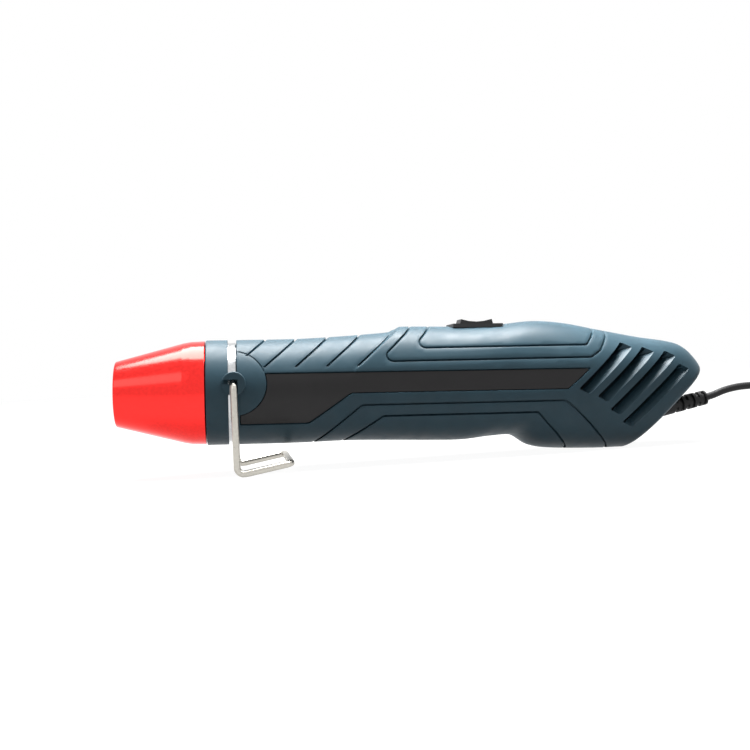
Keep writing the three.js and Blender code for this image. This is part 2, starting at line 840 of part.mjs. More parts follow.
// Housing, before it is split
function housing() {
  const skin = bodySkin(0);
  const core = bodySkin(grooveDepth);
  const neck = tube(neckFront, shellWall + gap, neckRadius, neckBore, 28);
  const neckHole = rodAlongX(neckFront - 1, shellWall + 1, neckBore, 0, 0, 28);
  let shell = skin.add(neck).subtract(neckHole).subtract(hollow());

  // Ribs round the heater barrel and the motor bracket
  for (const place of ribPlaces) {
    const x = heaterRear - place;
    const outer = bodyRadius - grooveDepth;
    shell = shell.add(tube(x, x + ribThickness, outer, barrelTubeRadius + gap, 26));
  }
  const slab = block(bracketFront, bracketRear, -beyond, beyond, -beyond, beyond);
  const seat = rodAlongX(bracketFront - 1, bracketRear + 1, bracketRadius + gap, 0, 0, 28);
  shell = shell.add(core.intersect(slab).subtract(seat));
  for (const side of [-1, 1]) {
    const lane = leadLane * side;
    shell = shell.subtract(
      rodAlongX(bracketFront - 1, bracketRear + 1, leadRadius + gap, lane, 0, 10),
    );
  }

  // Rails for the circuit board
  const railFront = boardFront + railInset;
  const railRear = boardFront + boardLength - railInset;
  const railEnds = [railFront - 1, railRear + 1];
  const railSide = boardWidth / 2 - railGrip;
  const slotSide = boardWidth / 2 + gap;
  const pcbFoot = pcbHeight - pcbThickness;
  const railHeights = [pcbFoot - railRise, pcbHeight + railRise];
  const rails = block(railFront, railRear, -beyond, beyond, ...railHeights)
    .subtract(block(...railEnds, -railSide, railSide, -beyond, beyond))
    .subtract(block(...railEnds, -slotSide, slotSide, pcbFoot - gap, pcbHeight + gap));
  shell = shell.add(core.intersect(rails));

  // Saddle that holds the flange of the strain relief
  const [saddleX, saddleZ] = onRelief(
    -reliefLength + reliefTailLength + reliefFlangeThickness / 2,
  );
  const saddle = block(
    saddleX - saddleFront,
    saddleX + saddleRear,
    -saddleHalfWidth,
    saddleHalfWidth,
    -heelDrop,
    saddleZ + saddleRise,
  );
  shell = shell.add(core.intersect(saddle));

  // Screw bosses, hollow on the left for the thread and on the right for the head
  const bossRadius = screwHeadRadius + gap + bossWall;
  for (const [x, z] of screwPlaces) {
    shell = shell.add(core.intersect(rodAlongY(0, beyond, bossRadius, x, z, 12)));
    const thread = rodAlongY(-beyond, 0, screwHole + threadWall, x, z, 10);
    shell = shell.add(core.intersect(thread));
  }

  // Pad under the cord clamp, on the left
  const clampPad = block(
    clampPlace - clampWide / 2 - clampPadRim,
    clampPlace + clampWide / 2 + clampPadRim,
    -beyond,
    -cordRadius - gap,
    clampHeight - clampLength / 2 - clampPadRim,
    clampHeight + clampLength / 2 + clampPadRim,
  );
  shell = shell.add(core.intersect(clampPad));

  // Cuts through the shell
  for (const [x, z] of screwPlaces) {
    const shaft = rodAlongY(screwSeat - screwLength - gap, beyond, screwHole, x, z, 10);
    const head = rodAlongY(screwSeat, beyond, screwHeadRadius + gap, x, z, 12);
    shell = shell.subtract(shaft).subtract(head);
  }
  for (const side of [-1, 1]) {
    const z = clampHeight + side * clampScrewSpread;
    const hole = rodAlongY(-clampScrewLength, 0, clampScrewRadius + gap, clampPlace, z, 8);
    shell = shell.subtract(hole);
    const ends = stubBore.map((y) => side * y).sort((a, b) => a - b);
    const stub = rodAlongY(...ends, wireRadius + gap, ...pivot, 12);
    shell = shell.subtract(stub);
    for (let i = 0; i < ventCount; i++) {
      const reach = side > 0 ? [ventReach, beyond] : [-beyond, -ventReach];
      shell = shell.subtract(plate(ventOutline(i), ...reach));
    }
  }
  shell = shell.subtract(reliefSolid(gap));

  // Switch opening and the flat that its bezel sits on
  shell = shell.subtract(
    block(
      switchFront - gap,
      switchFront + bezelLength + gap,
      -bezelWidth / 2 - gap,
      bezelWidth / 2 + gap,
      switchLanding,
      beyond,
    ),
  );
  shell = shell.subtract(
    block(
      switchMiddle - switchLength / 2 - gap,
      switchMiddle + switchLength / 2 + gap,
      -switchWidth / 2 - gap,
      switchWidth / 2 + gap,
      0,
      beyond,
    ),
  );

  // Label recess and grooves, cut to one depth below the surface
  const recessCore = bodySkin(labelDepth);
  shell = shell.subtract(plate(labelOutline(0), -beyond, beyond).subtract(recessCore));
  for (let i = 0; i < grooveCount; i++) {
    shell = shell.subtract(plate(grooveOutline(i), -beyond, beyond).subtract(core));
  }

  // Flat pad on the floor
  const below = new THREE.BoxGeometry(beyond, beyond, beyond);
  below.translate(0, 0, -beyond / 2).rotateY(-toolLean).translate(padPlace, 0, -padDrop);
  return shell.subtract(solid(below));
}

// Front pieces
function frontCollar() {
  const bandRoom = neckRadius + 2 * gap + bandThickness + gap;
  const profile = [
    [collarFront, neckBore],
    [collarFront, bodyRadius - collarEdge],
    [collarFront + collarEdge, bodyRadius],
    [collarRear, bodyRadius],
    [collarRear, bandRoom],
    [collarRear - bandLap, bandRoom],
    [collarRear - bandLap, neckRadius + gap],
    [collarFront + collarLip, neckRadius + gap],
    [collarFront + collarLip, neckBore],
  ];
  return turned(profile, 28);
}

function steelBand() {
  const inner = neckRadius + gap;
  const band = tube(collarRear - bandLap + gap, -gap, inner + bandThickness, inner, 28);
  const right = rodAlongY(...stubBore, wireRadius + gap, ...pivot, 12);
  return band.subtract(right).subtract(right.mirror([0, 1, 0]));
}

function nozzle() {
  const shoulder = nozzleFront + nozzleConeLength;
  const flange = nozzleRear - nozzleFlange;
  return turned(
    [
      [nozzleFront, nozzleMouthRadius - nozzleWall],
      [nozzleFront, nozzleMouthRadius - nozzleRim],
      [nozzleFront + nozzleRim, nozzleMouthRadius],
      [shoulder - shoulderRun, nozzleRadius - shoulderDrop],
      [shoulder + shoulderRun, nozzleRadius - shoulderFlat],
      [nozzleRear - shoulderRun, nozzleRadius],
      [nozzleRear, nozzleRadius],
      [nozzleRear, skirtRadius],
      [skirtReach, skirtRadius],
      [skirtReach, skirtRadius - nozzleWall],
      [flange, skirtRadius - nozzleWall],
      [flange, nozzleRadius - nozzleWall],
      [shoulder + shoulderRun, nozzleRadius - shoulderFlat - nozzleWall],
      [shoulder - shoulderRun, nozzleRadius - shoulderDrop - nozzleWall],
    ],
    28,
  );
}

// A slotted cap over the end of the wire on one side; its low quarter is the room in which
// the leg swings, and the walls of that quarter are the two stops.
function pivotCap(side) {
  const top = legSpread + capRise;
  const floor = legSpread - wireBend + swingClearance;
  const root = bodyRadius - capRoot;
  const between = (a, b) => (side > 0 ? [a, b] : [-b, -a]);
  const cap = rodAlongY(...between(root, top), capRadius, ...pivot, 20);
  const body = rodAlongX(-bodyRadius, bodyRadius, bodyRadius + gap, 0, 0, 64);
  const bore = rodAlongY(...between(root - 1, top + 1), wireRadius + gap, ...pivot, 12);
  const stop = wireRadius + gap;
  const quarter = block(
    pivot[0] - capRadius - 1,
    pivot[0] + stop,
    ...between(floor, top + 1),
    pivot[1] - capRadius - 1,
    pivot[1] + stop,
  );
  return cap.subtract(body).subtract(bore).subtract(quarter);
}

function label(side) {
  const outer = bodySkin(labelDepth - gap - labelThickness);
  const inner = bodySkin(labelDepth - gap);
  const reach = side > 0 ? [0, beyond] : [-beyond, 0];
  return plate(labelOutline(gap), ...reach).intersect(outer).subtract(inner);
}

// A screw along y with its head towards the right.
function screwAlongY([x, z], seat, radius, length, headRadius, headHeight) {
  const shank = rodAlongY(seat - length, seat + gap, radius, x, z, 8);
  const head = rodAlongY(seat + gap, seat + gap + headHeight, headRadius, x, z, 12);
  return shank.add(head);
}

// Heater
const barrelInner = barrelTubeRadius - barrelTubeWall;
const micaOuter = barrelInner - gap;
const micaInner = micaOuter - micaWall;
const coilRadius = micaInner - coilClearance - coilWireRadius;
const boardReach = coilRadius - coilWireRadius - boardClearance;
const plateFront = heaterRear - endPlateThickness - endPlateInset;
const plateRear = plateFront + endPlateThickness;
const boardsFront = heaterFront + boardInset;
const boardsRear = plateFront - gap;
const boardsMiddle = (boardsFront + boardsRear) / 2;

function uprightBoard() {
  const half = boardThickness / 2;
  const board = block(boardsFront, boardsRear, -half, half, -boardReach, boardReach);
  const slot = block(boardsFront - 1, boardsMiddle + gap / 2, -2, 2, -half - gap, half + gap);
  return board.subtract(slot);
}

function flatBoard() {
  const half = boardThickness / 2;
  const board = block(boardsFront, boardsRear, -boardReach, boardReach, -half, half);
  const slot = block(boardsMiddle - gap / 2, boardsRear + 1, -half - gap, half + gap, -2, 2);
  return board.subtract(slot);
}

function heatingCoil() {
  const steps = 8;
  const points = [];
  const run = coilPitch * coilCurls;
  const start = boardsMiddle - run / 2;
  for (let i = 0; i <= steps * coilCurls; i++) {
    const a = (i / steps) * 2 * halfTurn;
    const x = start + (run * i) / (steps * coilCurls);
    points.push(new THREE.Vector3(x, coilRadius * Math.cos(a), coilRadius * Math.sin(a)));
  }
  return { made: swept(points, coilWireRadius, 5), points, steps };
}

function endPlate() {
  let disc = rodAlongX(plateFront, plateRear, micaOuter, 0, 0, 28);
  for (let i = 0; i < 4; i++) {
    const a = (i + 0.5) * (halfTurn / 2);
    const y = plateHoleSpread * Math.cos(a);
    const z = plateHoleSpread * Math.sin(a);
    disc = disc.subtract(rodAlongX(plateFront - 1, plateRear + 1, plateHoleRadius, y, z, 8));
  }
  return disc;
}

// Fan and motor
function fanImpeller() {
  let fan = rodAlongX(fanFront, fanRear, fanHubRadius, 0, 0, 14);
  const across = fanDepth - 2 * bladeInset - bladeThickness * Math.sin(bladePitch);
  const root = fanHubRadius - bladeRoot;
  const tip = fanRadius - bladeTipDrop;
  for (let i = 0; i < fanBlades; i++) {
    const blade = new THREE.BoxGeometry(across / Math.cos(bladePitch), bladeThickness, tip - root);
    blade.rotateZ(bladePitch).translate(0, 0, (tip + root) / 2);
    blade.rotateX((i / fanBlades) * 2 * halfTurn).translate(fanFront + fanDepth / 2, 0, 0);
    fan = fan.add(solid(blade));
  }
  return fan.subtract(rodAlongX(fanFront - 1, fanRear + 1, shaftRadius + gap, 0, 0, 12));
}

function motorBracket() {
  let disc = rodAlongX(bracketFront, bracketRear, bracketRadius, 0, 0, 28);
  const outer = bracketRadius - bracketRim;
  const inner = motorRadius + bracketSeat;
  for (let i = 0; i < 4; i++) {
    const middle = (i + 0.5) * (halfTurn / 2);
    const shape = new THREE.Shape();
    shape.absarc(0, 0, outer, middle - windowSweep, middle + windowSweep, false);
    shape.absarc(0, 0, inner, middle + windowSweep, middle - windowSweep, true);
    const settings = { depth: bracketThickness + 2, bevelEnabled: false, curveSegments: 3 };
    const window = new THREE.ExtrudeGeometry(shape, settings);
    window.rotateY(halfTurn / 2).translate(bracketFront - 1, 0, 0);
    disc = disc.subtract(solid(window));
  }
  disc = disc.subtract(rodAlongX(bracketFront - 1, bracketRear + 1, shaftRadius + gap, 0, 0, 12));
  for (const side of [-1, 1]) {
    const screw = rodAlongX(
      bracketFront - 1,
      bracketRear + 1,
      shaftRadius + gap,
      0,
      side * motorScrewSpread,
      10,
    );
    const lane = rodAlongX(
      bracketFront - 1,
      bracketRear + 1,
      leadRadius + gap,
      side * leadLane,
      0,
      10,
    );
    disc = disc.subtract(screw).subtract(lane);
  }
  return disc;
}

function motorCan() {
  let can = turned(
    [
      [motorFront, 0],
      [motorFront, motorRadius - motorEdge],
      [motorFront + motorEdge, motorRadius],
      [motorRear, motorRadius],
      [motorRear, motorRadius - motorWall],
      [motorFront + motorWall, motorRadius - motorWall],
      [motorFront + motorWall, 0],
    ],
    20,
  );
  const face = [motorFront - 1, motorFront + motorWall + 1];
  can = can.subtract(rodAlongX(...face, shaftRadius + gap, 0, 0, 12));
  for (const side of [-1, 1]) {
    const z = side * motorScrewSpread;
    can = can.subtract(rodAlongX(...face, shaftRadius + gap, 0, z, 10));
  }
  return can;
}

function motorEndCap() {
  const front = motorRear + gap;
  const halfThick = motorTabThickness / 2;
  const halfWide = motorTabWidth / 2;
  const tabEnds = [motorCapRear - 1, motorCapRear + motorTabLength];
  let cap = rodAlongX(front, motorCapRear, motorRadius - motorEdge, 0, 0, 24);
  cap = cap.subtract(rodAlongX(front - 1, front + shaftTail + gap, shaftRadius + gap, 0, 0, 12));
  for (const side of [-1, 1]) {
    const y = side * motorTabSpread;
    cap = cap.add(block(...tabEnds, y - halfThick, y + halfThick, -halfWide, halfWide));
  }
  return cap;
}

function motorRotor() {
  const ends = [motorFront + rotorFront, motorRear - rotorRear];
  const core = rodAlongX(...ends, rotorRadius, 0, 0, 16);
  return core.subtract(rodAlongX(motorFront, motorRear, shaftRadius + gap, 0, 0, 12));
}

function motorScrew(side) {
  const z = side * motorScrewSpread;
  const seat = bracketFront - gap;
  const head = rodAlongX(seat - motorScrewHeadHeight, seat, motorScrewHeadRadius, 0, z, 12);
  return head.add(rodAlongX(seat, seat + motorScrewLength, shaftRadius, 0, z, 10));
}

// Switch
function switchBody() {
  const half = switchLength / 2;
  const under = bezelTop - bezelThickness;
  const bezel = block(
    switchMiddle - bezelLength / 2,
    switchMiddle + bezelLength / 2,
    -bezelWidth / 2,
    bezelWidth / 2,
    under,
    bezelTop,
  );
  const foot = under - switchDepth;
  const box = block(
    switchMiddle - half,
    switchMiddle + half,
    -switchWidth / 2,
    switchWidth / 2,
    foot,
    under,
  );
  const well = block(
    switchMiddle - wellLength / 2,
    switchMiddle + wellLength / 2,
    -rockerWidth / 2 - gap,
    rockerWidth / 2 + gap,
    bezelTop - wellDepth,
    bezelTop + 1,
  );
  const pinHeight = bezelTop - rockerPivotDrop;
  const pinReach = rockerWidth / 2 + rockerPinReach + gap;
  const pin = rodAlongY(
    -pinReach,
    pinReach,
    rockerPinRadius + gap,
    switchMiddle,
    pinHeight,
    12,
  );
  let body = bezel.add(box).subtract(well).subtract(pin);
  for (const place of [-tabSpread, 0, tabSpread]) {
    const x = switchMiddle + place;
    const ends = [x - tabThickness / 2, x + tabThickness / 2];
    body = body.add(block(...ends, -tabWidth / 2, tabWidth / 2, foot - tabHeight, foot + 1));
  }
  return body;
}

function rockerButton() {
  const x = switchMiddle;
  const z = bezelTop - rockerPivotDrop;
  const half = [rockerPeak, ...rockerEnd];
  const mirrored = half.map(([a, b]) => [-a, b]).reverse();
  const outline = [...half, [0, rockerFoot], ...mirrored, [0, rockerMiddle]];
  const placed = outline.map(([a, b]) => [x + a, z + b]);
  const button = plate(placed, -rockerWidth / 2, rockerWidth / 2);
  const reach = rockerWidth / 2 + rockerPinReach;
  return button.add(rodAlongY(-reach, reach, rockerPinRadius, x, z, 12));
}

// Cord clamp
function cordClamp() {
  const y = cordRadius + gap;
  let bar = block(
    clampPlace - clampWide / 2,
    clampPlace + clampWide / 2,
    y,
    y + clampThickness,
    clampHeight - clampLength / 2,
    clampHeight + clampLength / 2,
  );
  for (const side of [-1, 1]) {
    const z = clampHeight + side * clampScrewSpread;
    bar = bar.subtract(
      rodAlongY(y - 1, y + clampThickness + 1, clampScrewRadius + gap, clampPlace, z, 12),
    );
  }
  return bar;
}

// Inner cord and wires, as points chosen by hand
const cordInnerEnd = onRelief(-reliefLength - gap);
const innerCordRoute = [
  [cordInnerEnd[0], 0, cordInnerEnd[1]],
  [cordInnerEnd[0] - 2, 0, cordInnerEnd[1] - 2 * Math.tan(reliefAngle)],
  [clampPlace + 9, 0, clampHeight - 0.15],
  [clampPlace + 3, 0, clampHeight],
  [clampPlace - 3, 0, clampHeight],
  [clampPlace - 5.5, 0, clampHeight],
];
const cordSplit = clampPlace - 5.5 - gap;
const switchFoot = bezelTop - bezelThickness - switchDepth - tabHeight;
const tabFront = motorCapRear + motorTabLength + gap;
const pcbUnder = pcbHeight - pcbThickness - gap;
const wireLane = pcbUnder - laneDrop;
const pcbEdge = boardFront - gap;
const pcbMiddleHeight = pcbHeight - pcbThickness / 2;
const wireRoutes = {
  wire_live: [
    [cordSplit, 0.9, clampHeight],
    [cordSplit - 1.5, 0.9, clampHeight],
    [cordSplit - 6, 1.3, wireLane],
    [boardFront + 14, 2.4, wireLane + 3.2],
    [boardFront + 3, 2.6, wireLane + 5.6],
    [boardFront - 2.6, 2.3, wireLane + 8.1],
    [boardFront - 4.4, 1.6, -0.2],
    [switchMiddle + tabSpread + 0.2, 0.3, switchFoot - 3],
    [switchMiddle + tabSpread, 0, switchFoot - 1.8],
    [switchMiddle + tabSpread, 0, switchFoot - gap],
  ],
  wire_neutral: [
    [cordSplit, -0.9, clampHeight],
    [cordSplit - 1.5, -0.9, clampHeight],
    [cordSplit - 6, -2.2, wireLane - 0.4],
    [boardFront + 20, -3.6, pcbUnder - 4.6],
    [boardFront + 16.8, -4, pcbUnder - 2.4],
    [boardFront + 16.4, -4, pcbUnder - 1.5],
    [boardFront + 16.4, -4, pcbUnder],
  ],
  wire_heater_right: [
    [plateRear + gap, 9, 0],
    [plateRear + 1.6, 9, 0],
    [plateRear + 4.4, 11, 0],
    [plateRear + 9, leadLane - 0.6, 0],
    [plateRear + 14, leadLane, 0],
    [bracketFront, leadLane, 0],
    [bracketRear + 8, leadLane, 0],
    [motorRear - 2, leadLane - 0.3, 0.6],
    [motorCapRear + 0.5, 14.4, 2.2],
    [switchMiddle - 5, 7, 3.6],
    [switchMiddle - 0.8, 0.8, switchFoot - 2.8],
    [switchMiddle, 0, switchFoot - 1.8],
    [switchMiddle, 0, switchFoot - gap],
  ],
  wire_heater_left: [
    [plateRear + gap, -9, 0],
    [plateRear + 1.6, -9, 0],
    [plateRear + 4.4, -11, 0],
    [plateRear + 9, 0.6 - leadLane, 0],
    [plateRear + 14, -leadLane, 0],
    [bracketFront, -leadLane, 0],
    [bracketRear + 8, -leadLane, 0],
    [motorRear, 0.4 - leadLane, 0],
    [motorCapRear + 6, -14, -1.2],
    [pcbEdge - 5, -10.6, pcbMiddleHeight],
    [pcbEdge - 1.5, -10, pcbMiddleHeight],
    [pcbEdge, -10, pcbMiddleHeight],
  ],
  wire_motor_plus: [
    [tabFront, motorTabSpread, 0],
    [tabFront + 1.5, motorTabSpread, 0],
    [tabFront + 6, motorTabSpread + 0.2, -0.6],
    [pcbEdge - 5, motorTabSpread + 0.6, pcbMiddleHeight],
    [pcbEdge - 1.5, motorTabSpread + 0.6, pcbMiddleHeight],
    [pcbEdge, motorTabSpread + 0.6, pcbMiddleHeight],
  ],
  wire_motor_minus: [
    [tabFront, -motorTabSpread, 0],
    [tabFront + 1.5, -motorTabSpread, 0],
    [tabFront + 6, -motorTabSpread, -0.6],
    [pcbEdge - 5, 0.4 - motorTabSpread, pcbMiddleHeight],
    [pcbEdge - 1.5, 0.4 - motorTabSpread, pcbMiddleHeight],
    [pcbEdge, 0.4 - motorTabSpread, pcbMiddleHeight],
  ],
};

// Group of the tool, leaning on its stand and heel, then the cord in the frame of the floor
const group = new THREE.Group();
const tool = new THREE.Group();
tool.rotation.y = toolLean;
tool.position.z = floorDrop;
group.add(tool);

function piece(parent, name, made, material) {
  const mesh = new THREE.Mesh(geometryOf(made), material);
  mesh.name = name;
  parent.add(mesh);
  return mesh;
}

const whole = housing();
const ends = [-beyond, tipPlace + beyond];
const farSide = block(...ends, seamGap / 2, beyond, -beyond, beyond);
const nearSide = block(...ends, -beyond, -seamGap / 2, -beyond, beyond);
piece(tool, "left_housing", whole.intersect(nearSide), slate);
piece(tool, "right_housing", whole.intersect(farSide), slate);
piece(tool, "front_collar", frontCollar(), slate);
piece(tool, "steel_band", steelBand(), steel);
piece(tool, "nozzle", nozzle(), red);
const stand = piece(tool, "wire_stand", standSolid.translate([-pivot[0], 0, -pivot[1]]), steel);
stand.position.set(pivot[0], 0, pivot[1]);
piece(tool, "left_pivot_cap", pivotCap(-1), slate);
piece(tool, "right_pivot_cap", pivotCap(1), slate);
piece(tool, "left_label", label(-1), black);
piece(tool, "right_label", label(1), black);
screwPlaces.forEach((place, i) => {
  const screw = screwAlongY(
    place,
    screwSeat,
    screwRadius,
    screwLength,
    screwHeadRadius,
    screwHeadHeight,
  );
  piece(tool, `housing_screw_${i + 1}`, screw, steel);
});

piece(tool, "heater_barrel", tube(heaterFront, heaterRear, barrelTubeRadius, barrelInner), steel);
piece(tool, "mica_tube", tube(heaterFront + micaInset, plateFront - gap, micaOuter, micaInner), mica);
piece(tool, "mica_board_upright", uprightBoard(), mica);
piece(tool, "mica_board_flat", flatBoard(), mica);
const heating = heatingCoil();
piece(tool, "heating_coil", heating.made, nichrome);
piece(tool, "heater_end_plate", endPlate(), ceramic);
const fusePlace = plateRear + gap + fuseRadius;
const fuse = rodAlongY(-fuseLength / 2, fuseLength / 2, fuseRadius, fusePlace, 0, 12);
piece(tool, "thermal_fuse", fuse, grey);

piece(tool, "fan_impeller", fanImpeller(), black);
const shaft = rodAlongX(fanFront, motorRear + gap + shaftTail, shaftRadius, 0, 0, 10);
piece(tool, "motor_shaft", shaft, steel);
piece(tool, "motor_rotor", motorRotor(), copper);
piece(tool, "motor_bracket", motorBracket(), black);
piece(tool, "motor_can", motorCan(), steel);
piece(tool, "motor_end_cap", motorEndCap(), black);
piece(tool, "motor_screw_1", motorScrew(-1), steel);
piece(tool, "motor_screw_2", motorScrew(1), steel);

piece(tool, "switch_body", switchBody(), black);
piece(tool, "rocker_button", rockerButton(), black);

const board = block(
  boardFront,
  boardFront + boardLength,
  -boardWidth / 2,
  boardWidth / 2,
  pcbHeight - pcbThickness,
  pcbHeight,
);
piece(tool, "circuit_board", board, green);
for (let i = 0; i < 4; i++) {
  const x = boardFront + diodeInset + diodePitch * i;
  const z = pcbHeight + gap + diodeRadius;
  const diode = rodAlongY(diodeSide, diodeSide + diodeLength, diodeRadius, x, z, 10);
  piece(tool, `diode_${i + 1}`, diode, black);
}
const canFoot = pcbHeight + gap;
const capacitor = rodAlongZ(
  canFoot,
  canFoot + capacitorHeight,
  capacitorRadius,
  boardFront + boardLength - capacitorSetback,
  -capacitorSide,
  18,
);
piece(tool, "filter_capacitor", capacitor, blue);

const wireColours = {
  wire_live: brown,
  wire_neutral: blue,
  wire_heater_right: brown,
  wire_heater_left: grey,
  wire_motor_plus: red,
  wire_motor_minus: black,
};
for (const [name, route] of Object.entries(wireRoutes)) {
  piece(tool, name, swept(smoothPath(route, 6.5), leadRadius, 6), wireColours[name]);
}

piece(tool, "strain_relief", reliefSolid(0), black);
piece(tool, "inner_cord", swept(smoothPath(innerCordRoute, 3), cordRadius, 8), black);
piece(tool, "cord_clamp", cordClamp(), amber);
[-1, 1].forEach((side, i) => {
  const place = [clampPlace, clampHeight + side * clampScrewSpread];
  const seat = cordRadius + gap + clampThickness;
  const screw = screwAlongY(
    place,
    seat,
    clampScrewRadius,
    clampScrewLength,
    clampScrewHeadRadius,
    clampScrewHeadHeight,
  );
  piece(tool, `clamp_screw_${i + 1}`, screw, steel);
});

// Standing place: the middle of the tool's box is at x = 0 and y = 0, its lowest point at z = 0
group.updateMatrixWorld(true);
const toolBox = new THREE.Box3().setFromObject(tool, true);
tool.position.x = -(toolBox.min.x + toolBox.max.x) / 2;
tool.position.z -= toolBox.min.z;
group.updateMatrixWorld(true);

// Mains cord: 1.5 m in all. It leaves the strain relief, comes down to the floor in a low hump
// and runs into a round coil of four layers, and from the top layer on to its plug.
const exit = tool.localToWorld(new THREE.Vector3(reliefEnd[0], 0, reliefEnd[1]));
const exitSlope = Math.tan(reliefAngle - toolLean);
const coilFoot = floorClearance + tieThickness + gap + cordRadius;
const coilMiddle = exit.x + cordCoilSetback;
const leadStart = exit.x + gap;
const leadRoute = [
  [leadStart, 0, exit.z + gap * exitSlope],
  [leadStart + 3, 0, exit.z + 0.75],
  [leadStart + 8, 0, exit.z + 2.4],
  [leadStart + 13, 0, exit.z + 3.4],
  [leadStart + 18, 0, exit.z + 3.8],
  [leadStart + 22.5, 0, exit.z + 3.65],
  [leadStart + 27, -0.3, exit.z + 2.65],
  [leadStart + 32, -1.3, exit.z + 0.4],
  [leadStart + 37, -3, 14.8],
  [leadStart + 42, -5.4, 11.4],
  [leadStart + 47, -8.2, 8.2],
  [leadStart + 52, -11.3, 5.65],
  [leadStart + 57, -14.4, 3.95],
  [leadStart + 62, -17.3, 3],
  [leadStart + 67, -19.9, coilFoot],
  [coilMiddle - 12.1, 1.45 - cordCoilRadius, coilFoot],
  [coilMiddle - 8.6, 0.3 - cordCoilRadius, coilFoot],
  [coilMiddle - 2 * cordStub - gap, -cordCoilRadius, coilFoot],
  [coilMiddle - cordStub - gap, -cordCoilRadius, coilFoot],
];

// Radius and height of the coil at an angle from its start: the spiral runs in and out at a
// steady rate, and each half turn about a reversal climbs one layer.
function coilPoint(angle) {
  const layerAngle = cordTurnsPerLayer * 2 * halfTurn;
  const layer = Math.min(Math.floor(angle / layerAngle), cordLayers - 1);
  const within = angle - layer * layerAngle;
  const turns = (layer % 2 ? layerAngle - within : within) / (2 * halfTurn);
  const radius = cordCoilRadius - cordPitch * turns;
  let climbed = 0;
  for (let k = 1; k < cordLayers; k++) {
    const quarter = halfTurn / 2;
    const start = k * layerAngle - quarter;
    climbed += THREE.MathUtils.smoothstep(angle, start, start + 2 * quarter);
  }
  const a = angle - halfTurn / 2;
  return new THREE.Vector3(
    coilMiddle + radius * Math.cos(a),
    radius * Math.sin(a),
    coilFoot + cordPitch * climbed,
  );
}

const loopSteps = 24;
const coilPoints = [new THREE.Vector3(coilMiddle - cordStub, -cordCoilRadius, coilFoot)];
for (let i = 0; i <= loopSteps * cordTurnsPerLayer * cordLayers; i++) {
  coilPoints.push(coilPoint((i / loopSteps) * 2 * halfTurn));
}
const coilTop = coilFoot + cordPitch * (cordLayers - 1);
coilPoints.push(new THREE.Vector3(coilMiddle + cordStub, -cordCoilRadius, coilTop));

const tailStart = coilMiddle + cordStub + gap;
const tailEnd = tailStart + cordTailRun;
const plugAxis = plugThickness / 2;
const tailRoute = [
  [tailStart, -cordCoilRadius, coilTop],
  [tailStart + cordStub, -cordCoilRadius, coilTop],
  [tailStart + 8, -22.3, coilTop - 0.8],
  [tailStart + 13, -20.2, coilTop - 2.2],
  [tailStart + 18, -17.6, coilTop - 3.6],
  [tailStart + 23, -14.8, plugAxis + 1.4],
  [tailStart + 28, -12.2, plugAxis + 0.6],
  [tailStart + 33, -10.2, plugAxis + 0.1],
  [tailEnd - cordStub, plugMiddle, plugAxis],
  [tailEnd, plugMiddle, plugAxis],
];
const plugStart = tailEnd + gap;

function pathLength(points) {
  return points.slice(1).reduce((sum, p, i) => sum + p.distanceTo(points[i]), 0);
}

// Least gap between the surfaces of turns of one swept tube, measured on its points.
function leastGap(points, radius, skip) {
  let least = Infinity;
  for (let i = 0; i < points.length; i++) {
    for (let j = i + skip; j < points.length; j++) {
      least = Math.min(least, points[i].distanceTo(points[j]) - 2 * radius);
    }
  }
  return least;
}

const leadPoints = smoothPath(leadRoute, 4);
const tailPoints = smoothPath(tailRoute, 4);
piece(group, "cord_lead", swept(leadPoints, cordRadius, 8), black);
piece(group, "cord_coil", swept(coilPoints, cordRadius, 6), black);
piece(group, "cord_tail", swept(tailPoints, cordRadius, 8), black);
const cordLength = pathLength(leadPoints) + pathLength(coilPoints) + pathLength(tailPoints);
const coilGap = leastGap(coilPoints, cordRadius, loopSteps / 2);
const heatGap = leastGap(heating.points, coilWireRadius, heating.steps / 2);
console.log(`mains cord ${cordLength.toFixed(1)} mm long`);
console.log(`cord coil least gap to itself ${coilGap.toFixed(2)} mm`);
console.log(`heating coil least gap to itself ${heatGap.toFixed(2)} mm`);

// Tie round the bundle, on the side of the coil where its turns lie in straight rows
function cordTie() {
  const outerTurn = cordCoilRadius - cordPitch / 2 + cordRadius + gap;
  const innerTurn = cordCoilRadius - cordPitch * (cordTurnsPerLayer - 0.5) - cordRadius - gap;
  const head = coilTop + cordRadius + gap + tieThickness;
  const x0 = coilMiddle - tieWidth / 2;
  const x1 = coilMiddle + tieWidth / 2;
  const sides = [innerTurn - tieBow, outerTurn];
  const heights = [floorClearance + tieThickness, head - tieThickness];
  const outside = block(
    x0,
    x1,
    sides[0] - tieThickness,
    sides[1] + tieThickness,
    heights[0] - tieThickness,
    heights[1] + tieThickness,
  );
  return outside.subtract(block(x0 - 1, x1 + 1, ...sides, ...heights));
}
piece(group, "cord_tie", cordTie(), black);

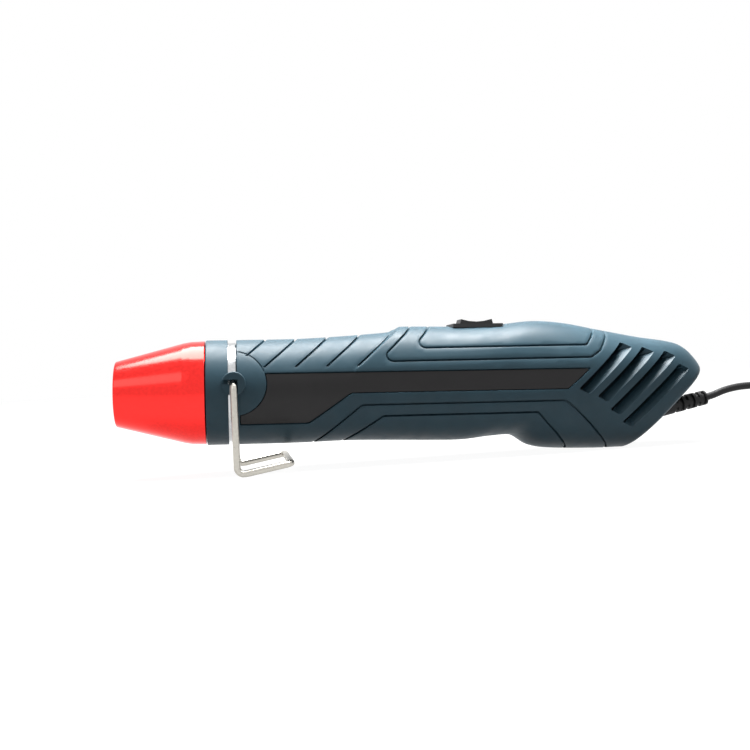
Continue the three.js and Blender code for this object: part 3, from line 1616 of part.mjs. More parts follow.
// Plug: a flat moulded body with a tapered neck, and two round pins
function plugBody() {
  const neckEnd = plugStart + plugNeckLength;
  const face = neckEnd + plugLength;
  const half = plugWidth / 2;
  const side = plugShoulder.map(([x, y]) => [neckEnd + x, y]);
  side.push([neckEnd + plugShoulderEnd, half], [face, half]);
  const outline = [...side, ...side.map(([x, y]) => [x, -y]).reverse()];
  const shape = new THREE.Shape(outline.map(([x, y]) => new THREE.Vector2(x, y + plugMiddle)));
  const settings = { depth: plugThickness, bevelEnabled: false };
  let body = solid(new THREE.ExtrudeGeometry(shape, settings));
  const neck = turned(
    [
      [plugStart, 0],
      [plugStart, plugNeckRadii[0]],
      [neckEnd, plugNeckRadii[1]],
      [neckEnd, 0],
    ],
    16,
  );
  body = body.add(neck.translate([0, plugMiddle, plugAxis]));
  for (const side of [-1, 1]) {
    const y = plugMiddle + (side * pinSpread) / 2;
    body = body.subtract(
      rodAlongX(face - pinRoot - gap, face + 1, pinRadius + gap, y, plugAxis, 16),
    );
  }
  return body;
}
piece(group, "plug_body", plugBody(), black);
[-1, 1].forEach((side, i) => {
  const face = plugStart + plugNeckLength + plugLength;
  const pin = turned(
    [
      [face - pinRoot, 0],
      [face - pinRoot, pinRadius],
      [face + pinLength - pinTip[0], pinRadius],
      [face + pinLength, pinRadius - pinTip[1]],
      [face + pinLength, 0],
    ],
    12,
  );
  const y = plugMiddle + (side * pinSpread) / 2;
  piece(group, `plug_pin_${i + 1}`, pin.translate([0, y, plugAxis]), brass);
});

export default group;
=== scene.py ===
# A small hot air tool on its wire stand. The tool's own frame is used for its pieces: millimetres,
# x back from the front face of the housing, y to the right-hand side, z up.
import json
import math

import bpy
import numpy as np
from mathutils import Matrix, Vector
from mathutils.geometry import delaunay_2d_cdt


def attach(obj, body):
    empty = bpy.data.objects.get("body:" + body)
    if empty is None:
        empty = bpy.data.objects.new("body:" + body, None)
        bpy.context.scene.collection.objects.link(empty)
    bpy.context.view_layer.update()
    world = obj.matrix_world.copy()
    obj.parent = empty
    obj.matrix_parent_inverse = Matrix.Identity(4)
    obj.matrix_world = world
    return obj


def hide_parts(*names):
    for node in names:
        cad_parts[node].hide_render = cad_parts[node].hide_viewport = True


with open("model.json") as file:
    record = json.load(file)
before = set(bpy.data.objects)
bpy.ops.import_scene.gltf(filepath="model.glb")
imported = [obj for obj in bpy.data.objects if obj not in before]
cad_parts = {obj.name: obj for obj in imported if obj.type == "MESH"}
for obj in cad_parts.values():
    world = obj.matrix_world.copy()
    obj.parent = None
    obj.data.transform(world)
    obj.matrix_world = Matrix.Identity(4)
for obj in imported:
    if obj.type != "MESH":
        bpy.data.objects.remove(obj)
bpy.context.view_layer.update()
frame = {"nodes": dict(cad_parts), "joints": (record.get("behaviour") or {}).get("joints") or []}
nodes = frame["nodes"]
joints = {joint["name"]: joint for joint in frame["joints"]}
mm = 0.001

# The tool leans on its stand and heel: the fan's axis gives the lean, the stand's pivot the place
pivotInTool = (-1.3, 3.5)
fanAxis = joints["fan_spin"]["axis"]
pivotInRow = [v / mm for v in joints["stand_fold"]["pos_m"]]
cosLean, sinLean = fanAxis[0], -fanAxis[2]
shiftX = pivotInRow[0] - cosLean * pivotInTool[0] - sinLean * pivotInTool[1]
shiftZ = pivotInRow[2] + sinLean * pivotInTool[0] - cosLean * pivotInTool[1]


def turnLean(v):  # a direction in the tool's frame, in the row frame
    v = np.asarray(v, float)
    x = cosLean * v[..., 0] + sinLean * v[..., 2]
    z = cosLean * v[..., 2] - sinLean * v[..., 0]
    return np.stack([x, v[..., 1], z], -1)


def toRow(points):  # millimetres in the tool's frame to metres in the row frame
    return (turnLean(points) + np.array([shiftX, 0, shiftZ])) * mm


def linked(name, data):  # a new object that holds the data, in the scene
    made = bpy.data.objects.new(name, data)
    bpy.context.scene.collection.objects.link(made)
    return made


# Camera
view = {"place": (-0.87, -397.67, 5.82), "yaw": 8.0, "roll": 1.0, "lens": 48, "sensor": 36}


def makeCamera():
    yaw, roll = math.radians(view["yaw"]), math.radians(view["roll"])
    right = np.array([math.cos(yaw), -math.sin(yaw), 0])
    up = np.array([0, 0, 1])
    ahead = np.array([math.sin(yaw), math.cos(yaw), 0])
    tilted = right * math.cos(roll) - up * math.sin(roll)
    top = right * math.sin(roll) + up * math.cos(roll)
    data = bpy.data.cameras.new("camera")
    data.lens, data.sensor_width = view["lens"], view["sensor"]
    data.clip_start, data.clip_end = 0.01, 50
    camera = linked("camera", data)
    columns = [turnLean(tilted), turnLean(top), turnLean(-ahead)]
    place = toRow(view["place"])
    rows = [[*(float(c[i]) for c in columns), float(place[i])] for i in range(3)]
    camera.matrix_world = Matrix([*rows, [0, 0, 0, 1]])
    bpy.context.scene.camera = camera


makeCamera()
print("camera placed")


# Mesh helpers
def fullTurn(count):  # angles evenly round a circle
    return np.arange(count) / count * 2 * math.pi


def lengthsAlong(path):  # how far each point lies along its line
    return np.concatenate([[0], np.cumsum(np.linalg.norm(np.diff(path, axis=0), axis=1))])


def unit(rows):  # each row at length 1
    return rows / np.linalg.norm(rows, axis=1)[:, None]


def makeMesh(name, points, faces, smooth=True):
    points = np.asarray(points, float)
    mesh = bpy.data.meshes.new(name)
    mesh.vertices.add(len(points))
    mesh.vertices.foreach_set("co", points.astype(np.float32).ravel())
    sizes = np.concatenate([np.full(len(f), f.shape[1]) for f in faces])
    corners = np.concatenate([f.ravel() for f in faces])
    mesh.loops.add(len(corners))
    mesh.loops.foreach_set("vertex_index", corners.astype(np.int32))
    mesh.polygons.add(len(sizes))
    starts = np.concatenate([[0], np.cumsum(sizes)[:-1]])
    mesh.polygons.foreach_set("loop_start", starts.astype(np.int32))
    mesh.polygons.foreach_set("use_smooth", np.full(len(sizes), smooth))
    mesh.update(calc_edges=True)
    mesh.validate()
    return mesh


def volumeOf(points, faces):  # sum of the signed tetrahedra between each face and the origin
    total = 0.0
    for f in faces:
        a = points[f[:, 0]]
        for k in range(1, f.shape[1] - 1):
            total += np.einsum("ij,ij->i", a, np.cross(points[f[:, k]], points[f[:, k + 1]])).sum()
    return total / 6


def outward(shape):  # a shape whose faces point out of it
    points, faces = shape
    points = np.asarray(points, float)
    faces = [np.asarray(f, int) for f in faces if len(f)]
    if volumeOf(points - points.mean(0), faces) < 0:
        faces = [f[:, ::-1] for f in faces]
    return points, faces


def addPiece(name, points, faces, material, body="housing", slot=None, replaces=(), sharp=35):
    mesh = makeMesh(name, *outward((points, faces)))
    mesh.set_sharp_from_angle(angle=math.radians(sharp))
    return place(name, mesh, material, body, slot, replaces)


def place(name, mesh, material, body="housing", slot=None, replaces=()):
    piece = linked(name, mesh)
    mesh.materials.clear()
    mesh.materials.append(material)
    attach(piece, body)
    if replaces:
        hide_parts(*replaces)
    return piece


def gridFaces(rows, columns, rowsClose=False, columnsClose=False):
    r = np.arange(rows if rowsClose else rows - 1)[:, None]
    c = np.arange(columns if columnsClose else columns - 1)[None, :]
    r1, c1 = (r + 1) % rows, (c + 1) % columns
    corners = [r * columns + c, r * columns + c1, r1 * columns + c1, r1 * columns + c]
    return np.stack([np.broadcast_to(v, (r.size, c.size)) for v in corners], -1).reshape(-1, 4)


def capFaces(first, count, centre):  # a fan over one closed row, to a middle point
    i = np.arange(count)
    return np.stack([first + i, first + (i + 1) % count, np.full(count, centre)], -1)


def capped(points, rows, columns, ends):
    # closed rings joined into a tube, with a fan to a middle point at each end
    total, last = len(points), (rows - 1) * columns
    near = capFaces(0, columns, total)[:, ::-1]
    lids = np.concatenate([near, capFaces(last, columns, total + 1)])
    return np.concatenate([points, ends]), [gridFaces(rows, columns, False, True), lids]


def arcs(points, radii, steps=6, closed=True):
    # each corner gives way to an arc that touches both its sides; the arc is drawn as a
    # circle's turn from one side's direction to the other's
    points = np.asarray(points, float)
    radii = np.broadcast_to(radii, len(points))
    path = []
    for i, corner in enumerate(points):
        if radii[i] <= 0 or (not closed and i in (0, len(points) - 1)):
            path.append(corner[None])
            continue
        into = corner - points[i - 1]
        out = points[(i + 1) % len(points)] - corner
        room = 0.49 * min(np.linalg.norm(into), np.linalg.norm(out))
        into, out = into / np.linalg.norm(into), out / np.linalg.norm(out)
        turn = math.acos(np.clip(into @ out, -1, 1))
        if turn < 0.02:
            path.append(corner[None])
            continue
        radius = min(radii[i], room / math.tan(turn / 2))
        side = out - into * (out @ into)
        side /= np.linalg.norm(side)
        start = corner - into * radius * math.tan(turn / 2)
        a = np.linspace(0, turn, steps)[:, None]
        path.append(start + into * radius * np.sin(a) + side * radius * (1 - np.cos(a)))
    return np.concatenate(path)


def lathe(profile, sides=128, axis="x", centre=(0, 0, 0)):
    # a closed profile of (along, radius) turned about the axis: every point of it runs round a
    # circle of its radius
    profile = np.asarray(profile, float)
    a = fullTurn(sides)
    along = np.broadcast_to(profile[:, :1], (len(profile), sides))
    across = profile[:, 1:] * np.cos(a)
    rise = profile[:, 1:] * np.sin(a)
    order = {"x": (along, across, rise), "y": (across, along, rise), "z": (across, rise, along)}
    points = np.stack(order[axis], -1).reshape(-1, 3) + np.array(centre)
    return points, [gridFaces(len(profile), sides, True, True)]


def latheCapped(profile, sides=64, axis="x", centre=(0, 0, 0)):
    # an open profile of (along, radius) turned about the axis, its two ends closed by fans
    profile = np.asarray(profile, float)
    points, _ = lathe(profile, sides, axis, centre)
    ends = np.zeros((2, 3))
    ends[:, "xyz".index(axis)] = profile[[0, -1], 0]
    return capped(points, len(profile), sides, ends + np.array(centre))


def sweep(path, radii, sides):
    # a circle carried along a path: each ring is square to the path, and its frame is turned
    # as little as possible from one ring to the next; the ends are closed by fans
    path = np.asarray(path, float)
    radii = np.broadcast_to(radii, len(path))
    tangent = unit(np.gradient(path, axis=0))
    start = np.array([0.0, 0.0, 1.0]) if abs(tangent[0][2]) < 0.9 else np.array([0.0, 1.0, 0.0])
    normals = [start - tangent[0] * (start @ tangent[0])]
    for t in tangent[1:]:
        n = normals[-1] - t * (normals[-1] @ t)
        normals.append(n / np.linalg.norm(n))
    normal = unit(np.array(normals))
    side = np.cross(tangent, normal)
    a = fullTurn(sides)
    ring = np.cos(a)[:, None] * normal[:, None] + np.sin(a)[:, None] * side[:, None]
    points = (path[:, None] + ring * radii[:, None, None]).reshape(-1, 3)
    return capped(points, len(path), sides, path[[0, -1]])


def cutMesh(shape, cutters):
    # solid shapes taken from a solid one, by Blender's exact boolean
    body = linked("cutting", makeMesh("cutting", *outward(shape)))
    helpers = []
    for cutter in cutters:
        helper = linked("cutter", makeMesh("cutter", *outward(cutter)))
        modifier = body.modifiers.new("cut", "BOOLEAN")
        modifier.operation, modifier.solver, modifier.object = "DIFFERENCE", "EXACT", helper
        helpers.append(helper)
    bpy.context.view_layer.update()
    graph = bpy.context.evaluated_depsgraph_get()
    mesh = bpy.data.meshes.new_from_object(body.evaluated_get(graph))
    for one in [body, *helpers]:
        bpy.data.objects.remove(one)
    return mesh


def slab(x0, x1, y0, y1, z0, z1):  # a block for cutting other shapes
    x, y, z = np.meshgrid([x0, x1], [y0, y1], [z0, z1], indexing="ij")
    points = np.stack([x, y, z], -1).reshape(-1, 3)
    quads = [[0, 1, 3, 2], [4, 6, 7, 5], [0, 4, 5, 1], [2, 3, 7, 6], [0, 2, 6, 4], [1, 5, 7, 3]]
    return points, [np.array(quads)]


def finishCut(name, mesh, material, body, slot, replaces, bevel=0.0, sharp=35):
    # the cut mesh goes to its place, and its edges are softened by a bevel
    points = np.empty(len(mesh.vertices) * 3, np.float32)
    mesh.vertices.foreach_get("co", points)
    mesh.vertices.foreach_set("co", toRow(points.reshape(-1, 3)).astype(np.float32).ravel())
    mesh.polygons.foreach_set("use_smooth", np.ones(len(mesh.polygons), bool))
    mesh.set_sharp_from_angle(angle=math.radians(sharp))
    piece = place(name, mesh, material, body, slot, replaces)
    if bevel:
        modifier = piece.modifiers.new("softEdge", "BEVEL")
        modifier.width, modifier.segments = bevel * mm, 2
        modifier.limit_method, modifier.angle_limit = "ANGLE", math.radians(40)
        modifier.harden_normals = False
    return piece


# Materials
def newMaterial(name, look):
    material = bpy.data.materials.new(name)
    material.use_nodes = True
    shader = material.node_tree.nodes["Principled BSDF"]
    shader.inputs["Base Color"].default_value = (*look["colour"], 1)
    shader.inputs["Roughness"].default_value = look["rough"]
    shader.inputs["Metallic"].default_value = look.get("metal", 0.0)
    shader.inputs["Specular IOR Level"].default_value = look.get("specular", 0.5)
    material.diffuse_color = (*look["colour"], 1)
    return material


def addNode(material, kind, **values):
    node = material.node_tree.nodes.new(kind)
    for key, value in values.items():
        if key in node.inputs:
            node.inputs[key].default_value = value
        else:
            setattr(node, key, value)
    return node


def joinNodes(owner, *pairs):  # each pair is an output and the input that it feeds
    for source, target in pairs:
        owner.node_tree.links.new(source, target)


def shaderInput(material, name):
    return material.node_tree.nodes["Principled BSDF"].inputs[name]


def objectNoise(material, scale, detail):
    where = addNode(material, "ShaderNodeTexCoord")
    noise = addNode(material, "ShaderNodeTexNoise", Scale=scale, Detail=detail)
    joinNodes(material, (where.outputs["Object"], noise.inputs["Vector"]))
    return noise


def tintByNoise(material, noise, colour, spread):  # the colour, darker and lighter by the spread
    ramp = addNode(material, "ShaderNodeValToRGB")
    ends = zip(ramp.color_ramp.elements, (0.35, 0.65), (1 - spread, 1 + spread))
    for stop, position, factor in ends:
        stop.position = position
        stop.color = (*(min(1.0, c * factor) for c in colour), 1)
    joinNodes(material, (noise.outputs["Fac"], ramp.inputs["Fac"]),
              (ramp.outputs["Color"], shaderInput(material, "Base Color")))


def roughByNoise(material, noise, low, high):
    span = addNode(material, "ShaderNodeMapRange")
    for name, value in (("From Min", 0.3), ("From Max", 0.7), ("To Min", low), ("To Max", high)):
        span.inputs[name].default_value = value
    joinNodes(material, (noise.outputs["Fac"], span.inputs["Value"]),
              (span.outputs["Result"], shaderInput(material, "Roughness")))


def bumpByNoise(material, noise, strength, depth):
    bump = addNode(material, "ShaderNodeBump", Strength=strength, Distance=depth * mm)
    joinNodes(material, (noise.outputs["Fac"], bump.inputs["Height"]),
              (bump.outputs["Normal"], shaderInput(material, "Normal")))


noiseScales = {"cloud": 90, "grain": 3800, "patch": 240, "lines": 900}


def mouldedPlastic(name, look):  # fine spark-eroded grain, a faint cloud in the tint
    material, rough = newMaterial(name, look), look["rough"]
    cloud = objectNoise(material, look.get("cloudScale", noiseScales["cloud"]), 4)
    tintByNoise(material, cloud, look["colour"], look.get("spread", 0.08))
    grain = objectNoise(material, noiseScales["grain"], 2)
    bumpByNoise(material, grain, look.get("grain", 0.25), 0.02)
    patch = objectNoise(material, noiseScales["patch"], 3)
    roughByNoise(material, patch, rough - 0.05, rough + 0.07)
    return material


def brushedMetal(name, look):  # one fine noise gives its tint, its shine and its bump
    material, rough = newMaterial(name, look), look["rough"]
    noise = objectNoise(material, noiseScales["lines"], 4)
    tintByNoise(material, noise, look["colour"], look.get("spread", 0.06))
    roughByNoise(material, noise, max(0.02, rough - 0.05), rough + 0.06)
    bumpByNoise(material, noise, look.get("lines", 0.06), 0.01)
    return material


looks = {
    "slate": {"colour": (0.040, 0.088, 0.118), "rough": 0.42, "specular": 0.27, "spread": 0.07,
              "grain": 0.22},
    "black": {"colour": (0.016, 0.016, 0.018), "rough": 0.45, "spread": 0.12},
    "label": {"colour": (0.017, 0.016, 0.017), "rough": 0.36, "specular": 0.3, "spread": 0.1,
              "grain": 0.08},
    "rubber": {"colour": (0.009, 0.009, 0.010), "rough": 0.5, "specular": 0.3, "spread": 0.15,
               "grain": 0.12},
    "plug": {"colour": (0.015, 0.015, 0.016), "rough": 0.42, "spread": 0.12, "grain": 0.2},
    "amber": {"colour": (0.55, 0.27, 0.04), "rough": 0.5},
    "ceramic": {"colour": (0.78, 0.74, 0.66), "rough": 0.75, "spread": 0.05, "grain": 0.3},
    "mica": {"colour": (0.42, 0.35, 0.22), "rough": 0.38, "spread": 0.25, "cloudScale": 300},
    "board": {"colour": (0.02, 0.13, 0.05), "rough": 0.4, "spread": 0.15, "cloudScale": 500},
    "blueSleeve": {"colour": (0.03, 0.09, 0.32), "rough": 0.35},
    "brownWire": {"colour": (0.13, 0.05, 0.02), "rough": 0.45},
    "blueWire": {"colour": (0.02, 0.08, 0.35), "rough": 0.45},
    "greyWire": {"colour": (0.30, 0.31, 0.32), "rough": 0.45},
    "redWire": {"colour": (0.50, 0.03, 0.03), "rough": 0.45},
    "red": {"colour": (0.93, 0.037, 0.033), "rough": 0.16, "metal": 1.0, "spread": 0.04,
            "lines": 0.003},
    "steel": {"colour": (0.56, 0.57, 0.58), "rough": 0.18, "metal": 1.0},
    "wireNickel": {"colour": (0.52, 0.50, 0.45), "rough": 0.32, "metal": 1.0},
    "heaterSteel": {"colour": (0.52, 0.50, 0.47), "rough": 0.34, "metal": 1.0, "spread": 0.14},
    "motorSteel": {"colour": (0.55, 0.56, 0.57), "rough": 0.3, "metal": 1.0},
    "heatingWire": {"colour": (0.36, 0.33, 0.31), "rough": 0.45, "metal": 1.0, "spread": 0.2},
    "fuse": {"colour": (0.66, 0.67, 0.68), "rough": 0.3, "metal": 1.0},
    "nickel": {"colour": (0.78, 0.75, 0.70), "rough": 0.18, "metal": 1.0},
}
finish = {
    key: (brushedMetal if "metal" in look else mouldedPlastic)(key, look)
    for key, look in looks.items()
}
print("materials made")

# Mains lead: 1.5 m, in millimetres in the row frame
lead = {
    "radius": 1.5, "turnsPerLayer": 3, "layers": 4, "pitch": 3.5, "coilRadius": 23.35,
    "floorGap": 2.65,  # from the floor to the middle of the lowest turns
    "reliefEnd": (195.2, -6), "reliefAngle": 12.0, "gap": 0.3, "into": 0.5,
    "plugMiddle": -9, "plugAxis": 6.85, "coilAhead": 84.4, "step": 1.4, "sides": 14,
    # the way out: behind the start, aside, and above the exit or the floor
    "overExit": [(3, 0, 0.75), (8, 0, 2.4), (13, 0, 3.4), (18, 0, 3.8), (22.5, 0, 3.65),
                 (27, -0.3, 2.65), (32, -1.3, 0.4)],
    "overFloor": [(37, -3, 14.8), (42, -5.4, 11.4), (47, -8.2, 8.2), (52, -11.3, 5.65),
                  (57, -14.4, 3.95), (62, -17.3, 3), (67, -19.9, 2.65), (72, -21.9, 2.65),
                  (75.5, -23.05, 2.65)],
    # from the coil to the plug: past the coil, aside, and from the coil's top or the plug's axis
    "offCoil": [(0, -23.35, 0), (3, -23.35, 0), (8, -22.3, -0.8), (13, -20.2, -2.2),
                (18, -17.6, -3.6)],
    "toPlug": [(23, -14.8, 1.4), (28, -12.2, 0.6), (33, -10.2, 0.1), (38, -9, 0), (41, -9, 0)],
}
reliefEndRow = turnLean((lead["reliefEnd"][0], 0, lead["reliefEnd"][1])) + (shiftX, 0, shiftZ)
exitX, exitZ = reliefEndRow[0], reliefEndRow[2]
exitSlope = math.tan(math.radians(lead["reliefAngle"]) - math.asin(sinLean))
coilMiddle = exitX + lead["coilAhead"]
coilTop = lead["floorGap"] + lead["pitch"] * (lead["layers"] - 1)


def hermite(t):  # how much a cubic takes of its start, first slope, end and last slope
    return 2 * t**3 - 3 * t**2 + 1, t**3 - 2 * t**2 + t, 3 * t**2 - 2 * t**3, t**3 - t**2


def centripetal(points, perRun=40):
    # Catmull-Rom with the square root of each run as its knot: the tangent at a point weighs
    # its two runs by their knots, and each run is one cubic between two points
    p = np.asarray(points, float)
    knots = np.sqrt(np.linalg.norm(np.diff(p, axis=0), axis=1))
    p0, p1, p2, p3 = p[:-3], p[1:-2], p[2:-1], p[3:]
    t0, t1, t2 = (k[:, None] for k in (knots[:-2], knots[1:-1], knots[2:]))
    m1 = ((p1 - p0) / t0 - (p2 - p0) / (t0 + t1) + (p2 - p1) / t1) * t1
    m2 = ((p2 - p1) / t1 - (p3 - p1) / (t1 + t2) + (p3 - p2) / t2) * t1
    t = np.linspace(0, 1, perRun, endpoint=False)[None, :, None]
    a, b, c, d = (v[:, None] for v in (p1, m1, p2, m2))
    w0, w1, w2, w3 = hermite(t)
    curve = w0 * a + w1 * b + w2 * c + w3 * d
    return np.concatenate([p[:1], curve.reshape(-1, 3), p[-2:]])


def evenly(path, step):  # the same line with its points a step apart
    along = lengthsAlong(path)
    count = max(2, int(round(along[-1] / step)))
    want = np.linspace(0, along[-1], count + 1)
    return np.stack([np.interp(want, along, path[:, k]) for k in range(3)], -1)


def smoothstep(x, low, high):
    t = np.clip((np.asarray(x, float) - low) / (high - low), 0, 1)
    return t * t * (3 - 2 * t)


def coilPath(stepsPerTurn=48):
    # a flat spiral that runs in and out at a steady rate, and climbs one layer in the half turn
    # centred on each reversal
    layerAngle = lead["turnsPerLayer"] * 2 * math.pi
    total = lead["layers"] * layerAngle
    angle = np.linspace(0, total, lead["layers"] * lead["turnsPerLayer"] * stepsPerTurn + 1)
    layer = np.minimum((angle / layerAngle).astype(int), lead["layers"] - 1)
    within = angle - layer * layerAngle
    turns = np.where(layer % 2 == 1, layerAngle - within, within) / (2 * math.pi)
    radius = lead["coilRadius"] - lead["pitch"] * turns
    climbed = sum(
        smoothstep(angle, k * layerAngle - math.pi / 2, k * layerAngle + math.pi / 2)
        for k in range(1, lead["layers"])
    )
    a = angle - math.pi / 2
    height = lead["floorGap"] + lead["pitch"] * climbed
    return np.stack([coilMiddle + radius * np.cos(a), radius * np.sin(a), height], -1)


def leadPath():
    def moved(rows, x, z):
        return [(x + dx, y, z + dz) for dx, y, dz in rows]

    gap, ring = lead["gap"], lead["coilRadius"]
    start, away = exitX + gap, coilMiddle + 3 + gap
    first = [(start, 0, exitZ + gap * exitSlope), *moved(lead["overExit"], start, exitZ)]
    first += moved(lead["overFloor"], start, 0)
    first += [(coilMiddle - back - gap, -ring, lead["floorGap"]) for back in (6, 3)]
    last = moved(lead["offCoil"], away, coilTop) + moved(lead["toPlug"], away, lead["plugAxis"])
    return evenly(np.concatenate([centripetal(first), coilPath(), centripetal(last)]), lead["step"])


def makeLead():
    path = leadPath()
    length = np.linalg.norm(np.diff(path, axis=0), axis=1).sum()
    # its two ends reach a little way into the strain relief and the plug
    ends = []
    for end, before in ((path[0], path[1]), (path[-1], path[-2])):
        ends.append(end + (end - before) / np.linalg.norm(end - before) * lead["into"])
    route = np.concatenate([ends[:1], path, ends[1:]])
    points, faces = sweep(route, lead["radius"], lead["sides"])
    piece = addPiece("mains_lead", points * mm, faces, finish["rubber"], slot="cord_rubber",
                     replaces=("cord_lead", "cord_coil", "cord_tail"), sharp=60)
    print("lead", round(length, 1), "mm")
    return piece, path * mm, length * mm


mainsLead, leadLine, leadLength = makeLead()

# Stage and light
stageLook = {"floor": 6.0, "floorColour": 0.13, "floorGlow": 0.94, "worldDiffuse": 0.04}
lamps = {
    "top": {"place": (-0.1, 0.22, 1.0), "size": 0.8, "power": 27, "aim": (0.02, 0, 0.03)},
    "grip": {"place": (0.07, 0.0, 0.27), "size": 0.12, "power": 0.8, "aim": (0.04, 0, 0.04)},
    "front": {"place": (-0.8, -0.75, 0.75), "size": 0.5, "power": 1.2, "aim": (0, 0, 0.03)},
}


def seenBy(owner, *kinds):  # 1 for these kinds of ray and 0 for the rest
    rays = addNode(owner, "ShaderNodeLightPath")
    value = rays.outputs[kinds[0]]
    for kind in kinds[1:]:
        most = addNode(owner, "ShaderNodeMath", operation="MAXIMUM")
        joinNodes(owner, (value, most.inputs[0]), (rays.outputs[kind], most.inputs[1]))
        value = most.outputs[0]
    return value


def makeStage():
    half = stageLook["floor"] / 2
    corners = [(-half, -half, 0), (half, -half, 0), (half, half, 0), (-half, half, 0)]
    mesh = bpy.data.meshes.new("floor")
    mesh.from_pydata(corners, [], [(0, 1, 2, 3)])
    floor = linked("floor", mesh)
    paper = bpy.data.materials.new("floorPaper")
    paper.use_nodes = True
    tone, white = [stageLook["floorColour"]] * 3, (1, 1, 1, 1)
    for name, value in (("Base Color", (*tone, 1)), ("Roughness", 0.9),
                        ("Specular IOR Level", 0.1), ("Emission Color", white)):
        shaderInput(paper, name).default_value = value
    glow = addNode(paper, "ShaderNodeMath", operation="MULTIPLY")
    glow.inputs[1].default_value = stageLook["floorGlow"]
    joinNodes(paper, (seenBy(paper, "Is Camera Ray", "Is Glossy Ray"), glow.inputs[0]),
              (glow.outputs[0], shaderInput(paper, "Emission Strength")))
    mesh.materials.append(paper)


def makeWorld():
    world = bpy.data.worlds.new("studio")
    bpy.context.scene.world = world
    world.use_nodes = True
    background = world.node_tree.nodes["Background"]
    background.inputs["Color"].default_value = (1, 1, 1, 1)
    seen = seenBy(world, "Is Camera Ray", "Is Glossy Ray", "Is Transmission Ray")
    span = addNode(world, "ShaderNodeMapRange")
    span.inputs["To Min"].default_value = stageLook["worldDiffuse"]
    span.inputs["To Max"].default_value = 1.0
    joinNodes(world, (seen, span.inputs["Value"]),
              (span.outputs["Result"], background.inputs["Strength"]))


def makeLamps():
    for name, lamp in lamps.items():
        data = bpy.data.lights.new(name, "AREA")
        data.shape, data.size, data.energy = "DISK", lamp["size"], lamp["power"]
        light = linked(name, data)
        light.location = lamp["place"]
        aim = Vector(lamp["aim"]) - Vector(lamp["place"])
        light.rotation_euler = aim.to_track_quat("-Z", "Y").to_euler()
    bpy.context.scene.view_settings.view_transform = "Standard"


makeStage()
makeWorld()
makeLamps()
print("stage and lamps set")

# Housing: its outline in the tool's side view, and its sections
housing = {
    "wall": 2.2, "louvreWall": 8.0, "rearWall": 2.3, "seam": 0.15, "stepPlace": 36.15,
    "stepSlant": 1.09, "slantSettled": 124.0, "rear": 182.6, "rearEdge": 1.8,
    "turnScale": 21.0,  # millimetres of surface for a radian round the section
}


edge = housing["turnScale"] * math.pi / 2  # the seam's place round the section


def lineThrough(points):
    # cubic pieces through (x, value) points, with the slope at each from its neighbours
    xs, vs = np.array(points, float).T
    i = np.arange(len(xs))
    before, after = np.maximum(i - 1, 0), np.minimum(i + 1, len(xs) - 1)
    slopes = (vs[after] - vs[before]) / (xs[after] - xs[before])

    def value(x):
        x = np.asarray(x, float)
        k = np.clip(np.searchsorted(xs, x, side="right") - 1, 0, len(xs) - 2)
        width = xs[k + 1] - xs[k]
        t = np.clip((x - xs[k]) / width, 0, 1)
        w0, w1, w2, w3 = hermite(t)
        near = w0 * vs[k] + w1 * width * slopes[k]
        far = w2 * vs[k + 1] + w3 * width * slopes[k + 1]
        return near + far + np.maximum(x - xs[-1], 0) * slopes[-1]

    return value


topOfBarrel = lineThrough([(0, 20.5), (24.4, 20.7), (43.9, 21.65), (61, 22.8), (81, 23.2)])
topOfGrip = lineThrough([
    (61, 25), (68.7, 25.1), (92.8, 24.9), (106.6, 25.6), (119.5, 26.8), (132.4, 25.9), (147, 23.04),
    (164.04, 19.75), (178.6, 17.4), (183.66, 14.8), (187.62, 10.47), (189.6, 7)])
bottomOfBody = lineThrough([
    (0, -20.5), (24.4, -20.4), (45.1, -20), (84.2, -20.9), (91.1, -20.7), (101.4, -19.6),
    (110.5, -19.6), (117.3, -23.6), (123.8, -24.9), (143, -25.6), (182.6, -25.6)])
halfWidth = lineThrough([
    (0, 20.5), (24.4, 20.4), (61, 20.1), (93.7, 20.2), (119.5, 21), (140, 20.6), (164.04, 18.6),
    (189.6, 15.2)])
fullness = lineThrough([(0, 2), (18.3, 2.05), (61, 2.2), (119.5, 2.35), (147, 2.6), (189.6, 3)])
widestHeight = lineThrough([(0, 0), (119.5, 0), (147, -1.5), (189.6, -5)])
tablePlaces = np.arange(0, housing["rear"] + 0.3, 0.2)


def slant(s):  # how far a section's plane leans back for each unit of rise
    knots = [2, housing["stepPlace"], housing["slantSettled"]]
    return np.interp(s, knots, [0, housing["stepSlant"], 1.0])


def meeting(line, shift, low, high):
    # the height where each slanted section plane meets the line, by halving
    lean = slant(tablePlaces)
    low, high = np.full_like(tablePlaces, low), np.full_like(tablePlaces, high)
    for _ in range(40):
        middle = (low + high) / 2
        below = middle < line(tablePlaces + lean * middle) + shift
        low, high = np.where(below, middle, low), np.where(below, high, middle)
    return (low + high) / 2


def sections(inset):
    barrel = meeting(topOfBarrel, -inset, -10, 40)
    grip = meeting(topOfGrip, -inset, -10, 40)
    step = housing["stepPlace"]
    upper = barrel + (grip - barrel) * smoothstep(tablePlaces, step - 0.35, step + 0.8)
    lower = meeting(bottomOfBody, inset, -40, 0)
    middle = np.minimum(widestHeight(tablePlaces), upper - 0.5)
    wide = halfWidth(tablePlaces + slant(tablePlaces) * middle) - inset
    return upper, lower, middle, wide


sectionsAt = {0: sections(0), 1: sections(1)}


def sectionSizes(s, insetHigh, insetWide):
    def size(k, inset):
        outside = np.interp(s, tablePlaces, sectionsAt[0][k])
        return outside + (np.interp(s, tablePlaces, sectionsAt[1][k]) - outside) * inset

    return size(0, insetHigh), size(1, insetHigh), size(2, insetHigh), size(3, insetWide)


